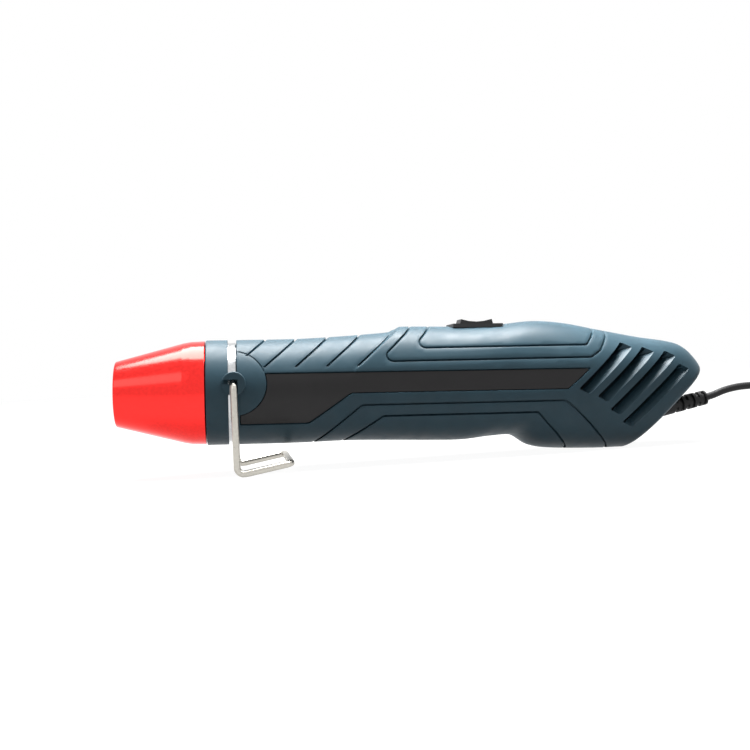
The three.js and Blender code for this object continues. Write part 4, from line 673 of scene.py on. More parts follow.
def sectionPoint(s, angle, insetHigh, insetWide):
    # a superellipse in the slanted plane x = s + slant z: its reach in a direction is
    # (|cos|^p + |sin|^p)^(-1/p), with its own height above and below the widest line
    upper, lower, middle, wide = sectionSizes(s, insetHigh, insetWide)
    power = fullness(s)
    across, rise = np.maximum(np.cos(angle), 0), np.sin(angle)
    reach = (across**power + np.abs(rise) ** power) ** (-1 / power)
    z = middle + np.where(rise > 0, upper - middle, middle - lower) * reach * rise
    y = housing["seam"] + (wide - housing["seam"]) * reach * across
    return np.stack([s + slant(s) * z, y, z], -1)


# The skin's first parameter u is the section's place; ahead of the front face it follows the
# neck, and behind the last section it turns over the rear edge and in across the rear face
frontProfile = np.array([
    (0.4, 20.5), (0.117, 20.383), (0, 20.1), (0, 19), (-0.1, 18.8), (-0.3, 18.7), (-9.6, 18.7),
    (-9.9, 18.4)])
frontKeys = 0.4 - lengthsAlong(frontProfile)
boreProfile = np.array([(frontKeys[-1], -9.9, 16.9), (-1.2, -0.2, 16.9), (0.4, 1.4, 16.9),
                        (2.2, 2.2, 16.9), (2.8, 2.5, 18.2)])
edgeStart = housing["rear"] - math.sqrt(2) * housing["rearEdge"]
edgeEnd = edgeStart + 0.5 * math.pi * housing["rearEdge"]
rearReach = 15.0


def ringAbout(x, radius, angle):
    y = housing["seam"] + (radius - housing["seam"]) * np.cos(angle)
    return np.stack([x, y, radius * np.sin(angle)], -1)


def rearFace(ring, angle, share):  # from the ring in to the line of the seam
    low, high = ring[..., 2].min(), ring[..., 2].max()
    z = ring[..., 2] * (1 - share) + (low + (high - low) * (angle / math.pi + 0.5)) * share
    y = housing["seam"] + (ring[..., 1] - housing["seam"]) * (1 - share)
    return np.stack([ring[..., 0] - ring[..., 2] + z, y, z], -1)


def withEnds(points, u, angle, frontEnd, rings):  # a skin with its neck and its rear face
    rear, front = u > edgeEnd, u < frontEnd
    if rear.any():
        share = np.clip((u[rear] - edgeEnd) / rearReach, 0, 1)
        points[rear] = rearFace(points[rear], angle[rear], share)
    points[front] = ringAbout(rings[0][front], rings[1][front], angle[front])
    return points


def outerSkin(u, angle, depth):
    turn = np.clip((u - edgeStart) / (edgeEnd - edgeStart), 0, 1) * math.pi / 2
    back = math.sqrt(2) * housing["rearEdge"] * (1 - np.sin(turn))
    s = np.clip(np.where(u > edgeStart, housing["rear"] - back, u), 0.4, None)
    inset = depth + housing["rearEdge"] * (1 - np.cos(turn))
    points = sectionPoint(s, angle, inset, inset)
    rings = [np.interp(-u, -frontKeys, frontProfile[:, k]) for k in (0, 1)]
    return withEnds(points, u, angle, 0.4, rings)


def innerSkin(u, angle):
    last = housing["rear"] - housing["rearWall"] * math.sqrt(2)
    s = np.clip(np.interp(u, [0, 168, edgeEnd], [0, 168, last]), 2.5, last)
    tail = smoothstep(s, 125, 140)
    wide = housing["wall"] + (housing["louvreWall"] - housing["wall"]) * tail
    points = sectionPoint(s, angle, housing["wall"], wide)
    rings = [np.interp(u, boreProfile[:, 0], boreProfile[:, k]) for k in (1, 2)]
    return withEnds(points, u, angle, 2.8, rings)


def sectionOf(x, z):
    # the section plane through a point of the side view, by halving, and the point's share of
    # the way from the widest line to the top or the bottom
    low, high = np.full_like(x, -30.0), np.full_like(x, 230.0)
    for _ in range(40):
        s = (low + high) / 2
        ahead = s + slant(s) * z < x
        low, high = np.where(ahead, s, low), np.where(ahead, high, s)
    upper, lower, middle, _ = sectionSizes(s, 0, 0)
    share = (z - middle) / np.where(z > middle, upper - middle, middle - lower)
    return s, share


def toSkin(line):
    # a line in the side view as (u, round) on the skin: cut off where it passes the top or the
    # bottom, and closed there to the seam
    line = np.asarray(line, float)
    fine = evenly2(line, 0.04)
    s, share = sectionOf(fine[:, 0], fine[:, 1])
    inside = np.abs(share) < 1
    if not inside.any():
        return np.zeros((0, 2))
    keep = np.flatnonzero(inside)
    run = np.arange(keep[0], keep[-1] + 1)
    power = fullness(s[run])
    h = np.clip(np.abs(share[run]), 0, 1)
    angle = np.sign(share[run]) * np.arctan2(h, (1 - h**power) ** (1 / power))
    skin = np.stack([s[run], angle * housing["turnScale"]], -1)
    if keep[0] > 0:
        skin = np.concatenate([[[skin[0, 0], np.sign(skin[0, 1]) * edge]], skin])
    if keep[-1] < len(fine) - 1:
        skin = np.concatenate([skin, [[skin[-1, 0], np.sign(skin[-1, 1]) * edge]]])
    return skin


def evenly2(path, step, ends=True):  # evenly for a flat line; ends keeps its own points
    along = lengthsAlong(path)
    count = max(1, int(math.ceil(along[-1] / step)))
    want = np.union1d(np.linspace(0, along[-1], count + 1), along if ends else [])
    return np.stack([np.interp(want, along, path[:, k]) for k in range(2)], -1)


def offsetLine(line, distance, closed=False):
    # each point moves square to the line by the distance, further at a corner by its mitre
    line = np.asarray(line, float)
    before = np.roll(line, 1, 0) if closed else np.concatenate([line[:1], line[:-1]])
    after = np.roll(line, -1, 0) if closed else np.concatenate([line[1:], line[-1:]])
    a, b = line - before, after - line
    if not closed:
        a[0], b[-1] = b[0], a[-1]
    a, b = unit(a), unit(b)
    na, nb = np.stack([-a[:, 1], a[:, 0]], -1), np.stack([-b[:, 1], b[:, 0]], -1)
    n = unit(na + nb)
    grow = 1 / np.maximum(np.einsum("ij,ij->i", n, nb), 0.5)
    return line + n * (distance * grow)[:, None]


def distanceTo(points, line):  # least distance from each point to the runs of a line
    a, b = line[:-1], line[1:]
    run = b - a
    size = np.maximum(np.einsum("ij,ij->i", run, run), 1e-12)
    least = np.full(len(points), 1e9)
    for start, r, s in zip(a, run, size):
        away = points - start
        t = np.clip(away @ r / s, 0, 1)[:, None]
        least = np.minimum(least, np.linalg.norm(away - t * r, axis=1))
    return least


def insideOf(points, ring):  # even-odd crossing count
    x, y = points[:, 0], points[:, 1]
    odd = np.zeros(len(points), bool)
    for (x0, y0), (x1, y1) in zip(ring, np.roll(ring, -1, 0)):
        if y0 == y1:
            continue
        crosses = (y0 > y) != (y1 > y)
        odd ^= crosses & (x < (x1 - x0) * (y - y0) / (y1 - y0) + x0)
    return odd


# Sunk outlines in the side view: the label's recess, the diagonal grooves and the panel lines
pivotDisc = {"centre": (-1.3, 3.5), "radius": 12.2}
labelLook = {
    "front": 0.8, "top": 7.4, "waist": -1.1, "foot": -12.5, "end": 138.7, "ramp": (26.9, 43.2),
    "depth": 1.1, "plateTop": 0.3, "plateFoot": 0.8, "gap": 0.3,
}
grooves = {"count": 5, "pitch": 11.9, "wide": 1.3, "depth": 1.0, "low": 9.3, "slope": 1.18,
           "high": 28.0, "start": 3.5, "firstLift": 4.6}
panelLines = {
    "half": 0.4, "depth": 1.1, "corner": 2.2,
    "paths": {
        "lowerOuter": [(24.7, -24.2), (31.2, -18.8), (47.1, -5.5), (127.4, -5.3), (131.6, -8.6),
                       (138.2, -15), (152, -29)],
        "lowerInner": [(36, -23.6), (42.5, -18.9), (55.5, -10), (116.7, -9.8), (126.7, -20.3),
                       (134, -28)],
        "upperOuter": [(75.5, 30.7), (67.8, 23.7), (53.9, 11), (138.8, 11.5), (143, 14.2),
                       (147.7, 20.5), (153, 27.5)],
        "upperInner": [(82.3, 30.7), (75.1, 23.4), (67.8, 16.1), (137.9, 16.5), (143, 22.3),
                       (148, 28)],
    },
}
vents = {
    "count": 4, "pitch": 11.16, "wide": 6.9, "slope": 1.08, "setback": 15.4,
    "tops": [17.3, 15.3, 13.6, 8.3], "topDrop": 2.1,
    "feet": [-0.9, -4.1, -9.4, -14.5], "footDrop": 2.3,
    "open": 3.0, "blade": 3.0,  # the open part's width, and how deep the sloping blade goes
}
screws = {"places": [(44.4, 14.5), (43.4, -14), (105.4, -13.5), (133.4, -19), (179.5, 11.5)],
          "hole": 2.8}


def onCircle(centre, radius, a):
    return np.stack([centre[0] + radius * np.cos(a), centre[1] + radius * np.sin(a)], -1)


def labelOutline(inset=0.0):
    front, top = labelLook["front"] + inset, labelLook["top"] - inset
    waist, foot = labelLook["waist"] + inset, labelLook["foot"] + inset
    end = labelLook["end"] - 2.8 * inset
    run = grooves["slope"] * (top - waist)
    rampFoot, rampTop = labelLook["ramp"]
    corners = [(front, foot), (rampFoot - inset, foot), (rampTop - inset, waist),
               (end - run, waist), (end, top)]
    (cx, cz), radius = pivotDisc["centre"], pivotDisc["radius"] + inset
    start, stop = math.asin((top - cz) / radius), -math.acos((front - cx) / radius)
    arc = onCircle((cx, cz), radius, np.linspace(start, stop, 24))
    straight = arcs([arc[-1], *corners, arc[0]], [0, 0.5, 4, 3, 0.7, 0.5, 0], 5, closed=False)
    return np.concatenate([straight[:-1], arc[:-1]])


def grooveOutline(index):
    low, high = grooves["low"] + (0 if index else grooves["firstLift"]), grooves["high"]
    across = grooves["pitch"] * (index - 0.5)
    foot = grooves["start"] + across + grooves["slope"] * (low - grooves["low"])
    wide, run = grooves["wide"], grooves["slope"] * (high - low)
    corners = [(foot, low), (foot + wide, low), (foot + wide + run, high), (foot + run, high)]
    return arcs(corners, [0.3, 0.3, 0, 0], 4)


def ventLeft(index):  # the slot's left edge, where its line meets the height 0
    return housing["rear"] - vents["setback"] - vents["pitch"] * (vents["count"] - 1 - index)


def ventOutline(index, wide):
    left, top, foot = ventLeft(index), vents["tops"][index], vents["feet"][index]
    share = wide / vents["wide"]
    footDrop, topDrop = vents["footDrop"] * share, vents["topDrop"] * share
    right = left + wide
    corners = np.array([
        (left, foot), (right, foot - footDrop), (right, top - topDrop), (left, top)])
    corners[:, 0] += vents["slope"] * corners[:, 1]
    return arcs(corners, [0.5, 1.6, 0.5, 0.5], 5)


def closedLine(ring):
    return np.concatenate([ring, ring[:1]])


def counterClockwise(ring):
    x, z = ring.T
    return ring if (x * np.roll(z, -1) - np.roll(x, -1) * z).sum() > 0 else ring[::-1]


def sunkFeatures():
    # each entry: an outline, whether it is a region or a line, and its depth at distances
    # measured inwards from the outline of a region, or from the middle of a line
    found = []

    def sink(line, region, at, depth, **more):
        line = counterClockwise(line) if region else line
        found.append({"line": line, "region": region, "at": at, "depth": depth, **more})

    sink(labelOutline(), True, [-0.22, 0, 0.16, 0.4], [0, 0.05, 0.95, labelLook["depth"]])
    for i in range(grooves["count"]):
        sink(grooveOutline(i), True, [-0.2, 0, 0.2], [0, 0.06, grooves["depth"]])
    for i in range(vents["count"]):
        sink(ventOutline(i, vents["wide"]), True, [0, 0.25], [0, vents["blade"]],
             blade=ventLeft(i) + vents["wide"])
    half, deep = panelLines["half"], panelLines["depth"]
    for path in panelLines["paths"].values():
        sink(arcs(path, panelLines["corner"], 6, closed=False), False,
             [half - 0.16, half, half + 0.12], [deep, 0.05, 0])
    (cx, cz), radius = pivotDisc["centre"], pivotDisc["radius"]
    a = np.linspace(math.asin((labelLook["top"] + 0.6 - cz) / radius), math.acos(1.6 / radius), 16)
    sink(onCircle((cx, cz), radius, a), False, [0.12, 0.32, 0.5], [0.35, 0.04, 0])
    return found


features = sunkFeatures()


def depthAt(x, z):
    where = np.stack([x, z], -1)
    depth = np.zeros(len(x))
    for feature in features:
        line = feature["line"]
        low, high = line.min(0) - 1, line.max(0) + 1
        near = np.flatnonzero(((where > low) & (where < high)).all(1))
        if not len(near):
            continue
        if feature["region"]:
            away = distanceTo(where[near], closedLine(line))
            away = np.where(insideOf(where[near], line), away, -away)
        else:
            away = distanceTo(where[near], line)
        deep = np.interp(away, feature["at"], feature["depth"])
        if "blade" in feature:
            # the right side of a slot is a blade that slopes in from the slot's right edge
            across = feature["blade"] - (x[near] - vents["slope"] * z[near])
            run = vents["wide"] - vents["open"]
            deep = np.minimum(deep, vents["blade"] * np.maximum(across, 0) / run)
        depth[near] = np.maximum(depth[near], deep)
    return depth


def featureCurves():
    curves = []
    for feature in features:
        line = feature["line"]
        for away in feature["at"]:
            if feature["region"]:
                curves.append(toSkin(closedLine(offsetLine(line, away, closed=True))))
            else:
                curves.append(toSkin(offsetLine(line, away)))
                curves.append(toSkin(offsetLine(line, -away)))
    return [c for c in curves if len(c) > 1]


def topToSkin(x, y):
    # a point on top of the body, given from above, as (u, round) on the skin: height and
    # section are found in turn
    s, z = x - 25.0, np.full_like(x, 25.0)
    for _ in range(30):
        upper, _, middle, wide = sectionSizes(s, 0, 0)
        power = fullness(s)
        share = np.clip((y - housing["seam"]) / (wide - housing["seam"]), 0, 1)
        rise = (1 - share**power) ** (1 / power)
        z = middle + (upper - middle) * rise
        s = x - slant(s) * z
    angle = np.arctan2(rise, share)
    return np.stack([s, angle * housing["turnScale"]], -1)


switch = {
    "front": 86.0, "length": 20.4, "width": 13.4, "landing": 24.0, "bodyLength": 18.0,
    "bodyWidth": 11.2, "gap": 0.3,
}
switchMiddle = switch["front"] + switch["length"] / 2


def landing(points):  # the flat on top that the bezel sits on
    gap = switch["gap"]
    over = (points[:, 0] > switch["front"] - gap) & (points[:, 1] < switch["width"] / 2 + gap)
    over &= points[:, 0] < switch["front"] + switch["length"] + gap
    over &= points[:, 2] > 10
    points[over, 2] = np.minimum(points[over, 2], switch["landing"])
    return points


relief = {
    "length": 36.0, "visible": 21.0, "endRadius": 3.0, "bodyRadius": 3.5, "flange": 5.0,
    "flangeThick": 2.0, "flangeStart": 1.5, "tail": 3.0, "hole": 3.85, "sides": 64,
    # its notches: where they start and stop, their pitch and width, and how deep they go
    "notchStart": 15.6, "notchStop": 0.9, "notchPitch": 2.55, "notch": 1.15, "notchDepth": 0.95,
}


def reliefNotch():
    # the half circle of the lead's hole in the rear face, as (u, round) on the skin: the face
    # runs in a straight line from its edge to the seam, so both are found in turn
    slope = math.tan(math.radians(lead["reliefAngle"]))
    endX, endZ = lead["reliefEnd"]
    middle = (endZ + slope * (housing["rear"] - endX)) / (1 - slope)
    a = np.linspace(-math.pi / 2, math.pi / 2, 25)
    y = housing["seam"] + relief["hole"] * np.cos(a)
    z = middle + relief["hole"] * 1.05 * np.sin(a)
    allAngles = np.linspace(-math.pi / 2, math.pi / 2, 400)
    inset = housing["rearEdge"]
    ring = sectionPoint(np.full(400, housing["rear"]), allAngles, inset, inset)
    low, high = ring[:, 2].min(), ring[:, 2].max()
    angle, share = np.zeros_like(z), np.ones_like(z)
    for _ in range(40):
        ringY = np.interp(angle, allAngles, ring[:, 1])
        ringZ = np.interp(angle, allAngles, ring[:, 2])
        share = 1 - (y - housing["seam"]) / (ringY - housing["seam"])
        line = (z - ringZ * (1 - share)) / np.maximum(share, 0.2)
        angle = np.clip(((line - low) / (high - low) - 0.5) * math.pi, -1.57, 1.57)
    return np.stack([edgeEnd + rearReach * share, angle * housing["turnScale"]], -1)


# Millimetres between the points of a curve, and how far the background keeps off them
meshing = {"curveStep": 0.55, "cell": 0.42, "around": 58}


def triangulate(curves, spread, holes, outline=None):
    # points of the curves and of the background, joined by Delaunay triangles that keep the
    # curves as edges; triangles in a hole, or outside the outline, are left out
    points, edges, count = [], [], 0
    for curve in curves:
        fine = evenly2(curve, meshing["curveStep"], ends=False)
        points.append(fine)
        edges.append(np.stack([np.arange(len(fine) - 1), np.arange(1, len(fine))], -1) + count)
        count += len(fine)
    drawn = np.concatenate(points)
    cell = meshing["cell"]
    taken = set()
    keys = np.floor(drawn / cell).astype(int)
    for i in (-1, 0, 1):
        for j in (-1, 0, 1):
            taken.update(map(tuple, (keys + (i, j)).tolist()))
    spreadKeys = map(tuple, np.floor(spread / cell).astype(int).tolist())
    free = np.array([key not in taken for key in spreadKeys])
    border = (np.abs(np.abs(spread[:, 1]) - edge) < 1e-6) & (outline is None)
    everything = np.concatenate([drawn, spread[free | border]])
    result = delaunay_2d_cdt(
        [Vector(p) for p in everything.tolist()], np.concatenate(edges).tolist(), [], 0, 1e-5,
        False)
    corners = np.array([tuple(v) for v in result[0]])
    faces = np.array(result[2])
    middle = corners[faces].mean(1)
    keep = np.ones(len(faces), bool)
    for hole in holes:
        keep &= ~insideOf(middle, hole)
    if outline is not None:
        keep &= insideOf(middle, outline)
    a, b, c = (corners[faces[:, k]] for k in range(3))
    b, c = b - a, c - a
    area = np.abs(b[:, 0] * c[:, 1] - b[:, 1] * c[:, 0])
    faces = faces[keep & (area > 1e-9)]
    used, back = np.unique(faces, return_inverse=True)
    return corners[used], back.reshape(faces.shape)


def shellOf(skin, faces, outer, inner):
    # the outer and inner points of one set of triangles, with a wall along every open edge
    count = len(skin)
    directed = np.concatenate([faces[:, [0, 1]], faces[:, [1, 2]], faces[:, [2, 0]]])
    code = directed.min(1) * count + directed.max(1)
    _, index, times = np.unique(code, return_index=True, return_counts=True)
    rim = directed[index[times == 1]]
    wall = np.stack([rim[:, 1], rim[:, 0], rim[:, 0] + count, rim[:, 1] + count], -1)
    both = np.concatenate([faces, faces[:, ::-1] + count])
    return np.concatenate([outer, inner]), [both, wall]


def pairsOf(a, b):  # every pair of a value from one list and a value from the other
    first, second = np.meshgrid(a, b, indexing="ij")
    return np.stack([first.ravel(), second.ravel()], -1)


def backgroundPoints():
    step = housing["stepPlace"]
    places = np.concatenate([
        frontKeys[::-1], np.arange(1.5, step - 0.9, 1.1),
        step + np.array([-0.6, -0.35, 0, 0.3, 0.6, 0.8, 1.1]),
        np.arange(step + 2, edgeStart - 0.5, 1.2), np.linspace(edgeStart, edgeEnd, 6),
        np.linspace(edgeEnd + 1, edgeEnd + rearReach, 14)])
    return pairsOf(places, np.linspace(-edge, edge, meshing["around"]))


def makeHousings():
    notch = reliefNotch()
    last = edgeEnd + rearReach
    notchRing = np.concatenate([notch, [[last + 1, notch[-1, 1]], [last + 1, notch[0, 1]]]])
    ventRings = [toSkin(closedLine(ventOutline(i, vents["open"]))) for i in range(vents["count"])]
    gap, half = switch["gap"], switch["bodyLength"] / 2
    topX0, topX1 = switchMiddle - half - gap, switchMiddle + half + gap
    halfSwitch = switch["bodyWidth"] / 2 + gap
    way = np.concatenate([
        np.stack([np.full(12, topX0), np.linspace(housing["seam"], halfSwitch, 12)], -1),
        np.stack([np.linspace(topX0, topX1, 30)[1:], np.full(29, halfSwitch)], -1),
        np.stack([np.full(12, topX1), np.linspace(halfSwitch, housing["seam"], 12)], -1)[1:]])
    switchCurve = topToSkin(way[:, 0], way[:, 1])
    switchCurve[[0, -1], 1] = edge
    beyond = [[switchCurve[-1, 0], edge + 1], [switchCurve[0, 0], edge + 1]]
    switchRing = np.concatenate([switchCurve, beyond])
    notch[[0, -1], 0] = last
    shared = featureCurves() + ventRings + [switchCurve, notch]
    for side, name in ((-1, "left_housing"), (1, "right_housing")):
        holes = ventRings + [switchRing, notchRing]
        curves = list(shared)
        if side > 0:
            circles = [onCircle(spot, screws["hole"], fullTurn(40)) for spot in screws["places"]]
            rings = [toSkin(closedLine(circle)) for circle in circles]
            curves += rings
            holes += rings
        skin, faces = triangulate(curves, backgroundPoints(), holes)
        u, angle = skin[:, 0], skin[:, 1] / housing["turnScale"]
        angle = np.clip(angle, -math.pi / 2, math.pi / 2)
        flat = outerSkin(u, angle, np.zeros(len(u)))
        depth = np.where((u > 0.5) & (u < edgeStart), depthAt(flat[:, 0], flat[:, 2]), 0)
        outer = landing(outerSkin(u, angle, depth))
        inner = innerSkin(u, angle)
        points, shell = shellOf(skin, faces, outer, inner)
        points[:, 1] *= side
        row = toRow(points)
        row[:, 2] = np.maximum(row[:, 2], 0)
        addPiece(name + "_shell", row, shell, finish["slate"], slot="slate_plastic",
                 replaces=(name,))
        print(name, len(faces) * 2, "triangles")


makeHousings()
print("housing made")

# the dark sheets behind the air inlets are painted shade, standing in for the shade inside the tail
shadeSheet = {"front": 131.0, "rear": 175.0, "low": -1.0, "high": 1.0, "gap": 0.4, "thick": 0.6}


def makeShadeSheets():
    # a thin dark sheet that follows the inside of each side wall behind the air inlets: painted
    # shade, so that
    #  the slots show black inside; its place is guessed, as only black shows there
    rows, columns = 40, 30
    s, angle = pairsOf(np.linspace(shadeSheet["front"], shadeSheet["rear"], rows),
                       np.linspace(shadeSheet["low"], shadeSheet["high"], columns)).T
    quads = gridFaces(rows, columns)
    faces = np.concatenate([quads[:, [0, 1, 2]], quads[:, [0, 2, 3]]])
    for side, name in ((-1, "left_inlet_shade_sheet"), (1, "right_inlet_shade_sheet")):
        sheets = []
        for extra in (shadeSheet["gap"], shadeSheet["gap"] + shadeSheet["thick"]):
            points = sectionPoint(s, angle, housing["wall"] + extra, housing["louvreWall"] + extra)
            sheets.append(points * (1, side, 1))
        points, shell = shellOf(s, faces, *sheets)
        addPiece(name, toRow(points), shell, finish["black"], slot="black_plastic")


makeShadeSheets()


def makeLabels():
    outline = counterClockwise(labelOutline(labelLook["gap"]))
    ring = toSkin(closedLine(outline))
    rims = [0, 0.08, 0.2, 0.45]
    curves = [toSkin(closedLine(offsetLine(outline, r, closed=True))) for r in rims]
    low, high = ring.min(0), ring.max(0)
    spread = pairsOf(np.arange(low[0], high[0], 1.2), np.arange(low[1], high[1], 1.1))
    spread = spread[insideOf(spread, ring)]
    skin, faces = triangulate(curves, spread, [], outline=ring)
    u, angle = skin[:, 0], skin[:, 1] / housing["turnScale"]
    flat = outerSkin(u, angle, np.zeros(len(u)))
    away = distanceTo(flat[:, [0, 2]], closedLine(outline))
    drop = np.interp(away, rims, [0.16, 0.06, 0.0, 0.0])
    outer = outerSkin(u, angle, labelLook["plateTop"] + drop)
    inner = outerSkin(u, angle, np.full(len(u), labelLook["plateFoot"]))
    for side, name in ((-1, "left_label"), (1, "right_label")):
        points, shell = shellOf(skin, faces, outer, inner)
        points[:, 1] *= side
        addPiece(name + "_plate", toRow(points), shell, finish["label"], slot="label_black",
                 replaces=(name,))


makeLabels()
print("labels made")

# Front pieces
nozzleLook = {
    "front": -46.4, "mouth": 12.6, "shoulder": -19.0, "radius": 20.2, "rear": -12.0, "wall": 0.8,
    "skirt": 16.6, "skirtEnd": 6.0, "lip": 1.6, "lipBack": 2.2, "lipOut": 0.58,
    "step": 1.0, "sides": 192,
}


def nozzleSide():  # the outside of the nozzle, as (x, radius), from its lip to its rear edge
    n = nozzleLook
    return [(n["front"], n["mouth"]), (n["shoulder"] - 1.5, n["radius"] - 0.75),
            (n["shoulder"] + 1.5, n["radius"] - 0.2), (n["rear"], n["radius"])]


def makeNozzle():
    n = nozzleLook
    wall = n["wall"]
    inside = [(x, r - wall) for x, r in nozzleSide()[2:0:-1]]
    outline = [
        (n["front"] + n["lipBack"], n["mouth"] + n["lipOut"] - wall),
        (n["front"], n["mouth"] - n["lip"]), *nozzleSide(), (n["rear"], n["skirt"]),
        (n["skirtEnd"], n["skirt"]), (n["skirtEnd"], n["skirt"] - wall),
        (n["rear"] - 1, n["skirt"] - wall), (n["rear"] - 1, n["radius"] - wall), *inside]
    radii = [0.5, 0.75, 0.75, 6, 4, 0.35, 0.3, 0.2, 0.2, 0.3, 0.4, 4, 6]
    profile = evenly2(closedLine(arcs(outline, radii, 8)), n["step"])[:-1]
    points, faces = lathe(profile, n["sides"])
    addPiece("nozzle_cup", toRow(points), faces, finish["red"], slot="red_nozzle",
             replaces=("nozzle",))


def makeCollar():
    profile = [(-11.7, 16.9), (-11.7, 20.5), (-3.3, 20.5), (-3.3, 20.1), (-6.3, 20.1), (-6.3, 19.0),
               (-10.2, 19.0), (-10.2, 16.9)]
    radii = [0.2, 0.45, 0.35, 0.05, 0.1, 0.1, 0.1, 0.1]
    points, faces = lathe(arcs(profile, radii, 6), 160)
    addPiece("front_ring", toRow(points), faces, finish["slate"], slot="slate_plastic",
             replaces=("front_collar",))


def rodY(x, z, y0, y1, radius):  # a rod across the tool, for cutting
    return latheCapped([(y0, radius), (y1, radius)], 40, "y", (x, 0, z))


def makeBand():
    profile = arcs([(-6.0, 19.0), (-6.0, 19.5), (-0.3, 19.5), (-0.3, 19.0)], 0.15, 4)
    hole = 1.6
    cutters = [rodY(*pivotInTool, *ends, hole) for ends in ((-26, -15), (15, 26))]
    mesh = cutMesh(lathe(profile, 160), cutters)
    finishCut("neck_band", mesh, finish["steel"], "housing", "bright_steel", ("steel_band",))


stand = {
    "wire": 1.3, "spread": 24.3, "leg": 34.1, "lean": 1.5, "foot": 20.5, "rise": 11.5, "bend": 2.6,
    "stub": 7.0,
}


def makeStand():
    lean, rise = math.radians(stand["lean"]), math.radians(stand["rise"])
    px, pz = pivotInTool
    y = stand["spread"]
    corner = (px + stand["leg"] * math.sin(lean), pz - stand["leg"] * math.cos(lean))
    toe = (corner[0] + stand["foot"] * math.cos(rise), corner[1] + stand["foot"] * math.sin(rise))
    left = [(px, stand["stub"] - y, pz), (px, -y, pz), (corner[0], -y, corner[1]),
            (toe[0], -y, toe[1])]
    right = [(x, -yy, z) for x, yy, z in left[::-1]]
    path = arcs([*left, *right], stand["bend"], 10, closed=False)
    path = evenly(path, 0.5)
    ends = np.interp(np.linspace(0, 1, len(path)), [0, 0.004, 0.996, 1], [0.75, 1, 1, 0.75])
    points, faces = sweep(path, stand["wire"] * ends, 20)
    addPiece("stand_wire", toRow(points), faces, finish["wireNickel"], "stand", "bright_steel",
             ("wire_stand",), 60)


cap = {"radius": 4.5, "rise": 0.3, "edge": 0.45, "slot": 1.6, "slotDepth": 3.2}


def makeCaps():
    px, pz = pivotInTool
    top = stand["spread"] + cap["rise"]
    floor = stand["spread"] - stand["bend"] + 0.1
    for side, name in ((-1, "left_pivot_cap"), (1, "right_pivot_cap")):
        r, e = cap["radius"], cap["edge"]
        corners = [(17, 0.01), (17, r), (top, r), (top, 0.01)]
        profile = arcs(corners, [0, 0.1, e, 0], 6, closed=False)
        disc = latheCapped(profile * (side, 1), 72, "y", (px, 0, pz))
        bodyRod = latheCapped([(-20, 20.8), (20, 20.8)], 160, "x")
        bore = rodY(px, pz, side * 15, side * (top + 1), cap["slot"])
        y0, y1 = sorted((side * floor, side * (top + 1)))
        quarter = slab(px - r - 1, px + cap["slot"], y0, y1, pz - r - 1, pz + cap["slot"])
        y0, y1 = sorted((side * (floor - cap["slotDepth"]), side * (top + 1)))
        slotAhead = slab(px - r - 1, px, y0, y1, pz - 0.1, pz + cap["slot"])
        slotDown = slab(px - 1.45, px + cap["slot"], y0, y1, pz - r - 1, pz)
        mesh = cutMesh(disc, [bodyRod, bore, quarter, slotAhead, slotDown])
        finishCut(name + "_boss", mesh, finish["slate"], "housing", "slate_plastic", (name,),
                  0.22, 30)


makeNozzle()
makeCollar()
makeBand()
makeStand()
makeCaps()
print("front pieces made")


# Strain relief, turned about its own slanted axis
def onRelief(points):
    a = math.radians(lead["reliefAngle"])
    x, y, z = points[:, 0], points[:, 1], points[:, 2]
    endX, endZ = lead["reliefEnd"]
    return np.stack([endX + x * math.cos(a) - z * math.sin(a), y,
                     endZ + x * math.sin(a) + z * math.cos(a)], -1)


def makeRelief():
    # a tapered sleeve; every other quarter of each ring is notched, so that it can bend
    back, front, tail = -relief["length"], -relief["visible"], relief["tail"]
    fl = back + relief["flangeStart"]
    flEnd = fl + relief["flangeThick"]
    body, flange = relief["bodyRadius"], relief["flange"]
    corners = [(back, 0.01), (back, tail), (fl, tail), (fl, flange), (flEnd, flange), (flEnd, body),
               (front, body)]
    profile = arcs(corners, [0, 0.3, 0.1, 0.3, 0.3, 0.1, 0], 5, closed=False)
    along, end = np.linspace(front, -0.4, 110)[1:], relief["endRadius"]
    cone = np.stack([along, np.interp(along, [front, 0], [body, end])], -1)
    tip = [(-0.15, end - 0.05), (0, end - 0.25), (0, 1.7), (0, 0.01)]
    profile = np.concatenate([profile, cone, tip])
    points, faces = latheCapped(profile, relief["sides"], "x")
    grid = points[:-2].reshape(len(profile), relief["sides"], 3)
    x = grid[..., 0]
    angle = np.arctan2(grid[..., 2], grid[..., 1])
    start, pitch, slot = relief["notchStart"], relief["notchPitch"], relief["notch"]
    ring = np.floor((x + start) / pitch)
    into = np.abs((x + start) / pitch - ring - 0.5) * pitch
    groove = 1 - smoothstep(into, slot / 2 - 0.12, slot / 2 + 0.12)
    turned = np.where(ring % 2 == 0, angle, angle + math.pi / 2)
    notched = smoothstep(np.abs(np.sin(turned)), 0.30, 0.36)
    live = (x > -start) & (x < -relief["notchStop"])
    depth = np.where(live, groove * notched, 0) * relief["notchDepth"]
    scale = 1 - depth / np.hypot(grid[..., 1], grid[..., 2]).clip(0.1)
    grid[..., 1] *= scale
    grid[..., 2] *= scale
    points[:-2] = grid.reshape(-1, 3)
    addPiece("relief_sleeve", toRow(onRelief(points)), faces, finish["rubber"],
             slot="black_plastic", replaces=("strain_relief",), sharp=40)


makeRelief()
print("strain relief made")


# Plug: a flat moulded body with a tapered neck
plugLook = {
    "neck": 14.0, "body": 34.0, "width": 35.3, "thick": 13.7, "sides": 96, "wave": 0.35,
    "wavePitch": 2.0, "toNeck": 41,
}


def softened(values):  # each value gives way to the mean of the nine about it
    return np.convolve(np.pad(values, 4, "edge"), np.ones(9) / 9, "valid")


